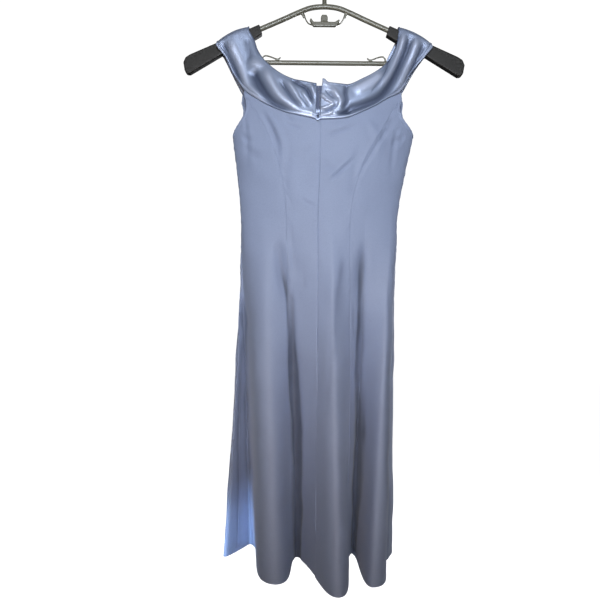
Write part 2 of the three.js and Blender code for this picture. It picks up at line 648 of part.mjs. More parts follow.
// A plate with rounded edges, drawn in the X-Z plane and centred on Y = 0.
function plate(outline, thickness, bevel, bevelSegments, holes = []) {
  const shape = new THREE.Shape(outline.map(({ x, z }) => new THREE.Vector2(x, z)));
  for (const hole of holes) shape.holes.push(new THREE.Path(hole.map(({ x, z }) => new THREE.Vector2(x, z))));
  const geometry = new THREE.ExtrudeGeometry(shape, {
    depth: thickness - 2 * bevel, bevelEnabled: true, bevelSize: bevel, bevelOffset: -bevel, bevelThickness: bevel,
    bevelSegments, steps: 1, curveSegments: 8,
  });
  geometry.translate(0, 0, bevel - thickness / 2);
  geometry.rotateX(Math.PI / 2);
  return geometry;
}

const mirrored = (points) => points.map(({ x, z }) => ({ x: -x, z }));

function hookPoints() {
  const radius = hookRadius + rodThickness / 2;
  const centreZ = -hookRadius;
  const stem = [{ x: 0, z: armTop.at(-1).z + 1 }, { x: 0, z: -66 }, { x: 2.5, z: -56 }, { x: 10.5, z: -46 }];
  const arc = [];
  for (let degrees = -36; degrees <= 212; degrees += 15.5) {
    const angle = degToRad(degrees);
    arc.push({ x: radius * Math.cos(angle), z: centreZ + radius * Math.sin(angle) });
  }
  return [...stem, ...arc];
}

function addHanger() {
  const arms = [...armTop, ...mirrored(armTop.slice(0, -1)).reverse()];
  const legs = [{ x: 33, z: -90 }, { x: 29.5, z: -100 }, { x: 25, z: -106.5 }, { x: 18, z: -109 }];
  const boat = [
    { x: -17.5, z: -111.6 }, { x: 18.5, z: -111.6 }, { x: 24.5, z: -103 }, { x: 23.4, z: -99.6 },
    { x: 17, z: -103.9 }, { x: -17, z: -103.9 }, { x: -21.4, z: -98 }, { x: -23.4, z: -102 },
  ];
  const knob = [
    { x: -5.6, z: -106 }, { x: 5.4, z: -106 }, { x: 5.4, z: -96 }, { x: 3.4, z: -92.6 }, { x: -3.6, z: -92.6 },
    { x: -5.6, z: -96 },
  ];
  addPiece(hanger, 'hanger_frame', join([
    rod(arms, armThickness, armThickness * 0.8, 10, 36),
    rod(hookPoints(), rodThickness, rodThickness, 8, 44),
    rod(legs, 2.6, 3.4, 6, 6),
    rod(mirrored(legs), 2.6, 3.4, 6, 6),
    plate(boat, 5, 0.8, 1),
    plate(knob, 3.6, 0.6, 1),
  ]), materials.smokyPlastic);

  const strapHook = [
    { x: 97, z: barZ + 1 }, { x: 96.6, z: -161.5 }, { x: 92.8, z: -158.2 }, { x: 86, z: -159.4 },
    { x: 76, z: -163 }, { x: 71.5, z: -163.2 }, { x: 68.4, z: -160.6 },
  ];
  const strutTop = -145.6;
  const bar = [
    { x: barReach, z: strutTop }, { x: barReach - 0.5, z: -160 }, { x: barReach - 7, z: -167.4 },
    { x: barReach - 18, z: barZ }, { x: barReach - 50, z: barZ }, { x: 0, z: barZ },
  ];
  addPiece(hanger, 'hanger_bar', join([
    rod([...bar, ...mirrored(bar.slice(0, -1)).reverse()], barThickness, barThickness * 0.85, 8, 40),
    rod(strapHook, 2.6, 2.6, 6, 14),
    rod(mirrored(strapHook), 2.6, 2.6, 6, 14),
  ]), materials.smokyPlastic);

  addPiece(hanger, 'hanger_grip_right', plate(gripOutline, gripThickness, 5, 3), materials.blackGrip);
  addPiece(hanger, 'hanger_grip_left', plate(mirrored(gripOutline).reverse(), gripThickness, 5, 3), materials.blackGrip);
  hanger.rotation.y = degToRad(hangerTilt);
}

// The zip's slider on the tapes, in the gap between the collar's edges, with a bridge that holds the pull.
// The pull is a long ring whose top bar passes through the bridge, and turns there about X.
function addSlider() {
  const tapeFace = ovalPoint(seamAngle(0, sliderZ), sliderZ).y + crepeWall / 2 + tapeGap;
  const collarFoot = -266;
  const satinFace = ovalPoint(seamAngle(0, collarFoot), collarFoot).y - crepeWall / 2 - seamGap - satinWall;
  const seatY = tapeFace - seamGap;
  const faceY = satinFace - seamGap;
  const half = sliderWidth / 2;
  const reach = sliderLength / 2;
  const corner = 1.4;
  const body = plate([
    { x: -half + corner / 2, z: -reach }, { x: half - corner / 2, z: -reach }, { x: half, z: 0 },
    { x: half, z: reach - corner }, { x: half - corner, z: reach }, { x: corner - half, z: reach },
    { x: -half, z: reach - corner }, { x: -half, z: 0 },
  ], seatY - faceY, 0.5, 1);
  body.translate(sliderX, (seatY + faceY) / 2, sliderZ);

  const foot = 0.6;
  const bevel = 0.9;
  const inner = bridgeReach - bridgeWall;
  const arch = new THREE.Shape([
    [-bridgeReach, -foot], [-bridgeReach, bridgeRise - bevel], [bevel - bridgeReach, bridgeRise],
    [bridgeReach - bevel, bridgeRise], [bridgeReach, bridgeRise - bevel], [bridgeReach, -foot],
    [inner, -foot], [inner, bridgeRise - bridgeWall], [-inner, bridgeRise - bridgeWall], [-inner, -foot],
  ].map(([along, out]) => new THREE.Vector2(along, out)));
  const bridge = new THREE.ExtrudeGeometry(arch, { depth: bridgeWidth, bevelEnabled: false });
  bridge.translate(0, 0, -bridgeWidth / 2);
  bridge.applyMatrix4(new THREE.Matrix4().makeBasis(
    new THREE.Vector3(0, 0, 1), new THREE.Vector3(0, -1, 0), new THREE.Vector3(1, 0, 0)));
  bridge.translate(sliderX, faceY, sliderZ);
  addPiece(dress, 'zip_slider', join([body, bridge]), materials.zipMetal);

  const holeHalf = bridgeWidth / 2 + 0.4;
  const rim = 0.95;
  const bar = pullWall / 2;
  const outline = [
    { x: -holeHalf - rim, z: bar }, { x: holeHalf + rim, z: bar }, { x: 3, z: -7.6 }, { x: 2.7, z: -10.4 },
    { x: 1.4, z: -pullLength + bar }, { x: -1.4, z: -pullLength + bar }, { x: -2.7, z: -10.4 }, { x: -3, z: -7.6 },
  ];
  const hole = [
    { x: -holeHalf, z: -bar }, { x: -1.9, z: -7.6 }, { x: -1.2, z: -9.8 }, { x: 1.2, z: -9.8 },
    { x: 1.9, z: -7.6 }, { x: holeHalf, z: -bar },
  ];
  const pull = plate(outline, pullWall, 0.15, 1, [hole]);
  const mesh = addPiece(dress, 'zip_pull', pull, materials.zipMetal);
  mesh.position.set(sliderX, faceY - (bridgeRise - bridgeWall) / 2, sliderZ - pivotDrop);
}

for (let i = 0; i < panels.length; i += 1) addPanel(i);
addCollar('collar_back_left', collarBackLeft, -1, ridgesLeft, collarSteps, 'left');
addCollar('collar_back_right', collarBackRight, -1, ridgesRight, collarSteps + 2, 'right');
addCollar('collar_front', collarFront, 1, ridgesFront, 2 * collarSteps, null);
addTape('zip_tape_left', -1);
addTape('zip_tape_right', 1);
addSlider();
addHanger();
product.add(dress, hanger);

export default product;
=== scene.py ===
# A child's satin-collared maxi dress on a plastic hanger, seen from the back.
# Sizes are millimetres in the tables and functions, and metres once they are in a mesh.
import math

import bpy
import bmesh
import numpy as np
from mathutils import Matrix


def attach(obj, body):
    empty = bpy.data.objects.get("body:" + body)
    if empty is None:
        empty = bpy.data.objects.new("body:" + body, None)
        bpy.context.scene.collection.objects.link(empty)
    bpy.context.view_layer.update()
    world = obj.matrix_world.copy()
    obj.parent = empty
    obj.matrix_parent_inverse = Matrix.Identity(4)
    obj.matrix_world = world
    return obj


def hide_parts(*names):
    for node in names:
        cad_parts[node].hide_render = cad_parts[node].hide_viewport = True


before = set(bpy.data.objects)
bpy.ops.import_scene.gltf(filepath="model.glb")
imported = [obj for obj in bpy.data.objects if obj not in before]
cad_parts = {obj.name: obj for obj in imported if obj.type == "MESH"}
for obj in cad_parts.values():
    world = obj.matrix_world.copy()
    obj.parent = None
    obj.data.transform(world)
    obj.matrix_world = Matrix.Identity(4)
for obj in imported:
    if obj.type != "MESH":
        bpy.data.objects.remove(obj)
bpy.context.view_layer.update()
millimetre = 0.001
print("frame loaded:", len(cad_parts), "nodes")


# Camera
cameraSetup = {"place": (-0.0396, -1.0, -0.5439), "lens": 37.9, "sensor": 36.0}


def addCamera():
    data = bpy.data.cameras.new("camera")
    data.lens = cameraSetup["lens"]
    data.sensor_width = cameraSetup["sensor"]
    data.clip_start = 0.01
    camera = bpy.data.objects.new("camera", data)
    camera.location = cameraSetup["place"]
    camera.rotation_euler = (math.radians(90), 0, 0)
    bpy.context.scene.collection.objects.link(camera)
    bpy.context.scene.camera = camera


addCamera()


# Tables, and reading them smoothly between their rows

def table(names, rows):
    columns = names.split()
    return {name: np.array([row[i] for row in rows], float) for i, name in enumerate(columns)}


def records(names, rows):
    return [dict(zip(names.split(), row)) for row in rows]


def readTable(columns, key, at):
    at = np.asarray(at, float)
    keys = columns[key]
    last = len(keys) - 1
    i = np.clip(np.searchsorted(keys, at, side="left") - 1, 0, last - 1)
    before, after = np.maximum(i - 1, 0), np.minimum(i + 2, last)
    span = keys[i + 1] - keys[i]
    s = np.clip((at - keys[i]) / span, 0, 1)
    result = {}
    for name, values in columns.items():
        slopeA = (values[i + 1] - values[before]) / (keys[i + 1] - keys[before]) * span
        slopeB = (values[after] - values[i]) / (keys[after] - keys[i]) * span
        rise = values[i + 1] - values[i]
        bend = (slopeA - rise) * (1 - s) + (rise - slopeB) * s
        result[name] = values[i] + rise * s + bend * s * (1 - s)
    return result


def lerp(a, b, s):
    return a + (b - a) * s


def smoothStep(s):
    s = np.clip(s, 0, 1)
    return s * s * (3 - 2 * s)


def bell(distance, width):
    return np.exp(-(distance / width) ** 2)


def unit(vectors):
    return vectors / np.linalg.norm(vectors, axis=-1, keepdims=True)


# Smooth unevenness between about -1 and 1, with bumps about size across
def softNoise(u, v, size, seed, waves=7):
    rng = np.random.default_rng(seed)
    total = np.zeros(np.broadcast(u, v).shape)
    for _ in range(waves):
        angle, phase, stretch = rng.uniform(0, 2 * math.pi), rng.uniform(0, 2 * math.pi), rng.uniform(0.7, 1.5)
        total += np.sin((u * math.cos(angle) + v * math.sin(angle)) * 2 * math.pi / (2 * size * stretch) + phase)
    return total / math.sqrt(waves)


# The dress's form: the same sizes as its solids
dressForm = {
    "waistZ": -425, "hemZ": -958.5, "chestZ": -246, "underarmZ": -285,
    "flareRamp": 1.15, "seamSpread": 2.1, "sidePinch": 1.15, "hemSamples": 900, "collarOverlap": 4,
}
bodySections = table("z left right back front", [
    (-425, -131.5, 112.5, 31, 34), (-390, -134, 117, 32, 37), (-354, -138, 125, 33, 40), (-315, -142.5, 133, 33.8, 43),
    (-278, -146, 140, 34, 44), (-245, -145.5, 139.5, 31, 38), (-205, -147, 140, 26, 30),
])
# Folds of the hem, seen from above: the way each faces in degrees, its tip, the valley after it, and how far it overhangs
hemFolds = records("name faces tip valley before after", [
    ("backCentre", 0, (14, -121), (45, 34), 0, 0.9),
    ("backRight", 0, (65, -90), (102, 14), 1, 1.2),
    ("rightSide", 90, (113, 44), (84, 62), 0, 0),
    ("frontRight", 168, (74, 117), (36, 47), 0.2, 0.3),
    ("frontCentre", 180, (-2, 128), (-52, 47), 0.3, 0.1),
    ("frontLeftInner", 185, (-84, 126), (-106, 62), 0.3, 0),
    ("frontLeftOuter", 190, (-134, 117), (-156, 70), 0, 0.2),
    ("leftSide", 335, (-162, 18), (-125, 73), 0.2, 0),
    ("backLeft", 360, (-74, -80), (-46, 16), 1.1, 1.1),
])
# Seams from the centre back round to the right: place across the body at the waist and top, its limit, and foot on a fold
seams = records("name face waist top cap foot", [
    ("centreBack", "back", -0.02, -0.043, 0.06, ("backCentre", "before", 0.507)),
    ("princessBackRight", "back", 0.384, 0.777, 0.84, ("backCentre", "after", 0.6)),
    ("sideRight", "back", 1, 1, 1, ("backRight", "after", 0.75)),
    ("princessFrontRight", "front", 0.4, 0.8, 0.87, ("frontCentre", "before", 0.55)),
    ("princessFrontLeft", "front", -0.4, -0.8, 0.885, ("frontLeftInner", "after", 0.35)),
    ("sideLeft", "front", -1, -1, 1, ("leftSide", "after", 0.53)),
    ("princessBackLeft", "back", -0.417, -0.76, 0.85, ("backLeft", "after", 0.75)),
])
# Panels after each seam: what bounds the top, an armhole's low end and shape, columns, cut width, length and area in metres
panels = records("name edge lowAt drop columns cut area from", [
    ("back_centre_right", "backRight", None, None, 62, (0.184, 0.695), 0.068, "collar_back_right"),
    ("back_side_right", "armhole", "end", 0.38, 66, (0.28, 0.764), 0.0959, "collar_back_right"),
    ("front_side_right", "armhole", "start", 0.58, 66, (0.258, 0.676), 0.0949, "collar_front"),
    ("front_centre", "front", None, None, 84, (0.257, 0.771), 0.1055, "collar_front"),
    ("front_side_left", "armhole", "end", 0.58, 74, (0.247, 0.772), 0.091, "collar_front"),
    ("back_side_left", "armhole", "start", 0.48, 62, (0.287, 0.677), 0.0995, "collar_back_left"),
    ("back_centre_left", "backLeft", None, None, 48, (0.091, 0.761), 0.0465, "collar_back_left"),
])
# Collar rows: neck edge, free edge, whether the free edge is seated on the bodice, and how far the middle lifts
collarNames = "neckX neckZ neckY edgeX edgeZ edgeY seated lift"
collarTables = {
    "backLeft": table(collarNames, [
        (-119.1, -111.5, 0, -170.9, -135.8, 0, 0, 1.6), (-111.1, -135.9, -9.8, -157.2, -162.9, -9.6, 0, 1),
        (-105.3, -152.7, -11.6, -144.5, -189.4, -9.4, 0, 0), (-95.8, -168.3, -14.5, -127.2, -214.6, 0, 1, 0),
        (-82.8, -181.9, -18.5, -114.3, -226.2, 0, 1, 0), (-66.9, -194.2, -22.5, -91, -241.5, 0, 1, 0),
        (-50.9, -202.2, -25.5, -66, -254, 0, 1, 0), (-35.1, -206.2, -27.5, -43, -260.4, 0, 1, 0),
        (-22, -209, -28.3, -24, -264.8, 0, 1, 0), (-14.2, -210.3, -28.5, -12.7, -268.3, 0, 1, 0),
    ]),
    "backRight": table(collarNames, [
        (115, -112.2, 0, 167.8, -138.8, 0, 0, 1.6), (113.4, -132.9, -9.8, 155.8, -163.5, -9.6, 0, 1),
        (109.5, -151.7, -11.6, 135.7, -187.1, -9.4, 0, 0), (101.5, -166, -14.5, 116.5, -219, 0, 1, 0),
        (89, -180.8, -18.5, 95.2, -231.8, 0, 1, 0), (73.8, -192.5, -22.5, 77, -244, 0, 1, 0),
        (57.6, -201.5, -25.5, 57.2, -254, 0, 1, 0), (37.8, -211, -27.5, 36, -263.4, 0, 1, 0),
        (22, -210.8, -28.3, 17.9, -266.7, 0, 1, 0), (3, -208.6, -28.5, 1.2, -267.4, 0, 1, 0),
        (-4.7, -208.6, -28.5, -10.9, -268.3, 0, 1, 0),
    ]),
    "front": table(collarNames, [
        (-119.1, -111.5, 0, -170.9, -135.8, 0, 0, 1.6), (-111.5, -136.5, 9.8, -161.5, -157.5, 9.6, 0, 1),
        (-106, -155, 11.6, -148.6, -183, 9.6, 0, 0), (-97, -174, 15, -132, -213, 0, 1, 0),
        (-82, -197, 20.5, -113, -241, 0, 1, 0), (-62, -217, 26, -86, -266, 0, 1, 0),
        (-40, -231, 30, -54, -285, 0, 1, 0), (-18, -238.5, 32.5, -24, -296, 0, 1, 0),
        (-2, -240.5, 33, -2, -298.5, 0, 1, 0), (15, -238.5, 32.5, 20, -296, 0, 1, 0),
        (37, -231, 30, 49, -285, 0, 1, 0), (58, -216, 26, 79, -266, 0, 1, 0), (78, -196, 20.5, 104, -241, 0, 1, 0),
        (92, -174, 15, 122, -215, 0, 1, 0), (103, -152, 11.6, 142, -181, 9.6, 0, 0),
        (112, -133.5, 9.8, 158.8, -158, 9.6, 0, 1), (115, -112.2, 0, 167.8, -138.8, 0, 0, 1.6),
    ]),
}


def foldSide(index, side, along):
    fold = hemFolds[index]
    valley = np.array((fold if side == "after" else hemFolds[index - 1])["valley"], float)
    tip = np.array(fold["tip"], float)
    angle = math.radians(fold["faces"])
    out = np.array([math.sin(angle), -math.cos(angle)])
    tangent = np.array([math.cos(angle), math.sin(angle)])
    drop = valley - tip
    turn = math.pi * np.asarray(along, float)
    sideways = along + fold[side] * (0.3 * np.sin(2 * turn) + 0.5 * np.sin(turn)) / math.pi
    deepShade = (1 - np.cos(turn)) / 2
    return tip + np.multiply.outer(deepShade, out) * drop.dot(out) + np.multiply.outer(sideways, tangent) * drop.dot(tangent)


def spaceEvenly(points, count):
    closed = np.vstack([points, points[:1]])
    lengths = np.concatenate([[0], np.cumsum(np.linalg.norm(np.diff(closed, axis=0), axis=1))])
    targets = lengths[-1] * np.arange(count) / count
    return np.column_stack([np.interp(targets, lengths, closed[:, k]) for k in range(2)])


def hemLine():
    steps, count = 40, dressForm["hemSamples"]
    raw = []
    for index in range(len(hemFolds)):
        raw.append(foldSide(index, "before", np.arange(steps, 0, -1) / steps))
        raw.append(foldSide(index, "after", np.arange(0, steps) / steps))
    points = spaceEvenly(np.vstack(raw), count)
    for _ in range(5):
        points = (2 * points + np.roll(points, 1, 0) + np.roll(points, -1, 0)) / 4
    return spaceEvenly(points, count)


hem = hemLine()


def hemAt(place):
    wrapped = np.mod(place, len(hem))
    i = np.floor(wrapped).astype(int) % len(hem)
    s = (wrapped - np.floor(wrapped))[..., None]
    return hem[i] * (1 - s) + hem[(i + 1) % len(hem)] * s


def seamFeetAlongHem():
    feet = []
    for seam in seams:
        name, side, along = seam["foot"]
        index = [fold["name"] for fold in hemFolds].index(name)
        feet.append(int(np.argmin(np.linalg.norm(hem - foldSide(index, side, along), axis=1))))
    feet.append(feet[0])
    for i in range(1, len(feet)):
        while feet[i] <= feet[i - 1]:
            feet[i] += len(hem)
    return feet


seamFeet = seamFeetAlongHem()


def seamAngle(index, z):
    seam = seams[index % len(seams)]
    rise = np.maximum(0, (z - dressForm["waistZ"]) / (dressForm["chestZ"] - dressForm["waistZ"])) ** dressForm["seamSpread"]
    share = np.clip(seam["waist"] + (seam["top"] - seam["waist"]) * rise, -seam["cap"], seam["cap"])
    if seam["face"] == "front":
        return math.pi - np.arcsin(share)
    return np.arcsin(share) + (2 * math.pi if index > len(seams) / 2 else 0)


def ovalPoint(angle, z):
    section = readTable(bodySections, "z", z)
    half = (section["right"] - section["left"]) / 2
    cosine = np.cos(angle)
    depth = np.where(cosine > 0, section["back"], section["front"])
    y = -np.sign(cosine) * depth * np.abs(cosine) ** dressForm["sidePinch"]
    x = (section["right"] + section["left"]) / 2 + half * np.sin(angle)
    return np.stack(np.broadcast_arrays(x, y, z), -1)


# A point of the dress: index is the gore, part how far across it, z the height
def dressPoint(index, part, z):
    part, z = np.broadcast_arrays(np.asarray(part, float), np.asarray(z, float))
    angle = lerp(seamAngle(index, z), seamAngle(index + 1, z), part)
    point = ovalPoint(angle, np.maximum(z, dressForm["waistZ"]))
    point = np.array(point)
    point[..., 2] = z
    flare = (np.maximum(0, dressForm["waistZ"] - z) / (dressForm["waistZ"] - dressForm["hemZ"])) ** dressForm["flareRamp"]
    foot = hemAt(lerp(seamFeet[index], seamFeet[index + 1], part))
    point[..., :2] = lerp(point[..., :2], foot, flare[..., None])
    return point


def collarEdgeZ(name, x):
    columns = collarTables[name]
    order = np.argsort(columns["edgeX"])
    return readTable({"x": columns["edgeX"][order], "z": columns["edgeZ"][order]}, "x", x)["z"]


def topEdgeZ(index, share):
    panel = panels[index]
    share = np.asarray(share, float)
    if panel["edge"] != "armhole":
        z = np.full(share.shape, float(dressForm["chestZ"]))
        for _ in range(12):
            x = dressPoint(index, np.clip(share, 0.001, 0.999), z)[..., 0]
            z = lerp(z, collarEdgeZ(panel["edge"], x) + dressForm["collarOverlap"], 0.7)
        return z
    fromEnd = panel["lowAt"] == "end"
    top = topEdgeZ(index - 1 if fromEnd else index + 1, 1.0 if fromEnd else 0.0)
    return lerp(top, dressForm["underarmZ"], (share if fromEnd else 1 - share) ** panel["drop"])


# Meshes from grids

def makeObject(name, mesh):
    obj = bpy.data.objects.new(name, mesh)
    bpy.context.scene.collection.objects.link(obj)
    return obj


def meshFrom(name, points, quads, uv):
    mesh = bpy.data.meshes.new(name)
    mesh.vertices.add(len(points))
    mesh.vertices.foreach_set("co", (np.asarray(points, np.float64) * millimetre).astype(np.float32).ravel())
    mesh.loops.add(quads.size)
    mesh.loops.foreach_set("vertex_index", quads.astype(np.int32).ravel())
    mesh.polygons.add(len(quads))
    mesh.polygons.foreach_set("loop_start", np.arange(0, quads.size, quads.shape[1], dtype=np.int32))
    mesh.polygons.foreach_set("use_smooth", np.ones(len(quads), bool))
    layer = mesh.uv_layers.new(name="UVMap")
    layer.data.foreach_set("uv", (uv[quads.ravel()] * millimetre).astype(np.float32).ravel())
    mesh.update(calc_edges=True)
    return mesh


def gridNormals(points, wrap=False):
    if wrap:
        alongColumns = np.roll(points, -1, 1) - np.roll(points, 1, 1)
    else:
        alongColumns = np.gradient(points, axis=1)
    normals = np.cross(alongColumns, np.gradient(points, axis=0))
    return normals / np.maximum(np.linalg.norm(normals, axis=-1, keepdims=True), 1e-9)


# Closes a grid of middle points into a thin shell. half is half its thickness, and the border is taken as 0.
def shellMesh(name, middle, normals, half, uv, paintedShading=None):
    rows, columns = middle.shape[:2]
    half = half.copy()
    half[0, :] = half[-1, :] = half[:, 0] = half[:, -1] = 0
    outer = (middle + normals * half[..., None]).reshape(-1, 3)
    inside = np.zeros((rows, columns), bool)
    inside[1:-1, 1:-1] = True
    inner = (middle - normals * half[..., None])[inside]
    outerIndex = np.arange(rows * columns).reshape(rows, columns)
    innerIndex = outerIndex.copy()
    innerIndex[inside] = rows * columns + np.arange(inside.sum())

    def quadsOf(index):
        return np.stack([index[:-1, :-1], index[1:, :-1], index[1:, 1:], index[:-1, 1:]], -1).reshape(-1, 4)

    quads = np.vstack([quadsOf(outerIndex), quadsOf(innerIndex)[:, ::-1]])
    points = np.vstack([outer, inner])
    flatUv = np.vstack([uv.reshape(-1, 2), uv[inside]])
    a, b, c, d = (points[quads[:, k]] for k in range(4))
    volume = np.einsum("ij,ij->i", a, np.cross(b, c)).sum() + np.einsum("ij,ij->i", a, np.cross(c, d)).sum()
    if volume < 0:
        quads = quads[:, ::-1]
    mesh = meshFrom(name, points, quads, flatUv)
    # The painted highlight and shade go on every point as an attribute for the material
    if paintedShading is not None:
        values = np.concatenate([paintedShading.ravel(), paintedShading[inside]]).astype(np.float32)
        mesh.attributes.new("paintedShading", "FLOAT", "POINT").data.foreach_set("value", values)
    return mesh


def arcLengths(points, axis):
    steps = np.linalg.norm(np.diff(points, axis=axis), axis=-1)
    zero = np.zeros_like(np.take(steps, [0], axis))
    return np.concatenate([zero, np.cumsum(steps, axis)], axis)


# How the thickness rounds off within a distance of an edge
def roundedEdge(distance, radius):
    return np.sqrt(np.maximum(0, 1 - (1 - np.clip(distance / radius, 0, 1)) ** 2))


print("form ready")


# Materials: crepe, satin and the zip, thread and hanger
# deepShade is the colour of the shade painted deepest in the skirt's valleys and creases
crepeLook = {
    "deepShade": (0.018, 0.024, 0.042), "dark": (0.26, 0.312, 0.475), "base": (0.3, 0.358, 0.535), "light": (0.33, 0.392, 0.58),
    "roughness": 0.56, "sheen": 0.35, "shadingShare": 0.45, "cloud": 14, "cloudShare": 0.2, "level": 0.52,
    "fleck": 900, "fleckShare": 0.22, "pebble": 1500, "weave": 900, "weaveShare": 0.7, "bump": 0.5, "bumpDepth": 0.0001,
}
# dark is the painted shade and light the painted highlight of the satin's folds and edges
satinLook = {
    "dark": (0.085, 0.11, 0.19), "base": (0.31, 0.37, 0.53), "light": (0.54, 0.6, 0.79),
    "roughness": (0.4, 0.48), "metallic": 0.42, "sheen": 0.15, "shadingShare": 0.5, "cloud": 22, "cloudShare": 0.24,
    "level": 0.36, "thread": 1600, "slub": 900, "bump": 0.35, "bumpDepth": 0.00005,
}
tapeLook = {
    "stops": [(0.2, (0.085, 0.105, 0.18)), (0.8, (0.14, 0.17, 0.28))], "roughness": 0.8, "sheen": 0.2, "rib": 700,
    "bump": 0.5, "bumpDepth": 0.0001,
}
threadLook = {
    "stops": [(0.3, (0.24, 0.29, 0.48)), (0.7, (0.36, 0.42, 0.63))], "roughness": 0.55, "sheen": 0.2, "twist": 2500,
}
coilLook = {
    "stops": [(0.3, (0.14, 0.17, 0.27)), (0.7, (0.22, 0.26, 0.39))], "roughness": 0.5, "worn": 400,
}
metalLook = {
    "stops": [(0.35, (0.12, 0.14, 0.21)), (0.75, (0.2, 0.23, 0.32))], "roughness": 0.75, "metallic": 0.85, "worn": 500,
}
plasticLook = {
    "base": (0.155, 0.15, 0.118), "warmer": 1.25, "roughness": (0.24, 0.42), "cloud": 35, "scuff": 160, "wave": 90,
    "bump": 0.08, "bumpDepth": 0.0004,
}
gripLook = {
    "base": (0.017, 0.015, 0.014), "worn": (0.04, 0.037, 0.035), "roughness": (0.42, 0.7), "scuff": 90, "grain": 1400,
    "bump": 0.1, "bumpDepth": 0.0002,
}


# A new material with its shader's settings, and what the functions below build it with
def newMaterial(name, **settings):
    material = bpy.data.materials.new(name)
    material.use_nodes = True
    tree = material.node_tree
    shader = tree.nodes["Principled BSDF"]
    for key, value in settings.items():
        shader.inputs[key.replace("_", " ")].default_value = value
    place = tree.nodes.new("ShaderNodeTexCoord")
    return material, tree, shader.inputs, place.outputs


def addNode(tree, kind, inputs, links):
    node = tree.nodes.new(kind)
    for key, value in inputs.items():
        node.inputs[key].default_value = value
    for key, socket in links.items():
        tree.links.new(socket, node.inputs[key])
    return node


def addNoise(tree, vector, scale, detail=3, roughness=0.5):
    inputs = {"Scale": scale, "Detail": detail, "Roughness": roughness}
    return addNode(tree, "ShaderNodeTexNoise", inputs, {"Vector": vector}).outputs["Fac"]


def addWave(tree, vector, scale, direction, distortion=0.6):
    wave = addNode(tree, "ShaderNodeTexWave", {"Scale": scale, "Distortion": distortion}, {"Vector": vector})
    wave.wave_type = "BANDS"
    wave.bands_direction = direction
    return wave.outputs["Fac"]


def addRamp(tree, value, stops):
    ramp = addNode(tree, "ShaderNodeValToRGB", {}, {"Fac": value})
    for i, (place, colour) in enumerate(stops):
        element = ramp.color_ramp.elements[i] if i < 2 else ramp.color_ramp.elements.new(place)
        element.position = place
        element.color = (*colour, 1)
    return ramp.outputs["Color"]


def addMath(tree, operation, a, b):
    node = tree.nodes.new("ShaderNodeMath")
    node.operation = operation
    for i, value in enumerate((a, b)):
        if isinstance(value, (int, float)):
            node.inputs[i].default_value = value
        else:
            tree.links.new(value, node.inputs[i])
    return node.outputs["Value"]


def addBump(tree, shader, height, look):
    bump = addNode(tree, "ShaderNodeBump", {"Strength": look["bump"], "Distance": look["bumpDepth"]}, {"Height": height})
    tree.links.new(bump.outputs["Normal"], shader["Normal"])


def addRoughness(tree, shader, value, look):
    low, high = look["roughness"]
    spread = addNode(tree, "ShaderNodeMapRange", {"To Min": low, "To Max": high}, {"Value": value})
    tree.links.new(spread.outputs["Result"], shader["Roughness"])


# How light the cloth is: the highlight and shade painted on its mesh, with soft clouds of its own tone over it
def paintedShadingLevel(tree, place, look, detail, roughness):
    paintedShading = tree.nodes.new("ShaderNodeAttribute")
    paintedShading.attribute_name = "paintedShading"
    cloud = addNoise(tree, place["Object"], look["cloud"], detail, roughness)
    painted = addMath(tree, "MULTIPLY", paintedShading.outputs["Fac"], look["shadingShare"])
    clouded = addMath(tree, "ADD", painted, addMath(tree, "MULTIPLY", cloud, look["cloudShare"]))
    return addMath(tree, "ADD", clouded, look["level"])


def crepeMaterial():
    look = crepeLook
    material, tree, shader, place = newMaterial(
        "crepe", Roughness=look["roughness"], Sheen_Weight=look["sheen"], Sheen_Roughness=0.45,
        Sheen_Tint=(0.75, 0.82, 1, 1), Specular_IOR_Level=0.42)
    # The deepShade stop, and the way down to it, is painted shade in the valleys and creases; the clouds alone move the
    # colour between dark, base and light
    stops = [(0, look["deepShade"]), (1, look["light"]), (0.5, look["dark"]), (0.62, look["base"])]
    tint = addRamp(tree, paintedShadingLevel(tree, place, look, 4, 0.55), stops)
    fleck = addNoise(tree, place["Object"], look["fleck"], 2, 0.6)
    flecks = addRamp(tree, fleck, [(0.3, (0.36, 0.36, 0.36)), (0.7, (0.64, 0.64, 0.64))])
    mix = tree.nodes.new("ShaderNodeMix")
    mix.data_type = "RGBA"
    mix.blend_type = "OVERLAY"
    mix.inputs["Factor"].default_value = look["fleckShare"]
    tree.links.new(tint, mix.inputs["A"])
    tree.links.new(flecks, mix.inputs["B"])
    tree.links.new(mix.outputs["Result"], shader["Base Color"])
    pebble = addNoise(tree, place["Object"], look["pebble"], 2, 0.6)
    weft, warp = (addWave(tree, place["UV"], look["weave"], direction) for direction in "XY")
    weave = addMath(tree, "MULTIPLY", addMath(tree, "MAXIMUM", weft, warp), look["weaveShare"])
    addBump(tree, shader, addMath(tree, "ADD", pebble, weave), look)
    return material


def satinMaterial():
    look = satinLook
    material, tree, shader, place = newMaterial(
        "satin", Metallic=look["metallic"], Sheen_Weight=look["sheen"], Sheen_Roughness=0.3,
        Sheen_Tint=(0.8, 0.86, 1, 1), Specular_IOR_Level=0.6)
    # The dark stop is painted shade and the light stop painted highlight, along the satin's folds and edges; the clouds
    # move the colour about base
    stops = [(0, look["dark"]), (1, look["light"]), (0.5, look["base"])]
    tint = addRamp(tree, paintedShadingLevel(tree, place, look, 3, 0.5), stops)
    tree.links.new(tint, shader["Base Color"])
    addRoughness(tree, shader, addNoise(tree, place["Object"], 60, 4, 0.6), look)
    threads = addWave(tree, place["UV"], look["thread"], "Y", 1.2)
    slub = addNoise(tree, place["Object"], look["slub"], 2)
    addBump(tree, shader, addMath(tree, "ADD", threads, slub), look)
    return material


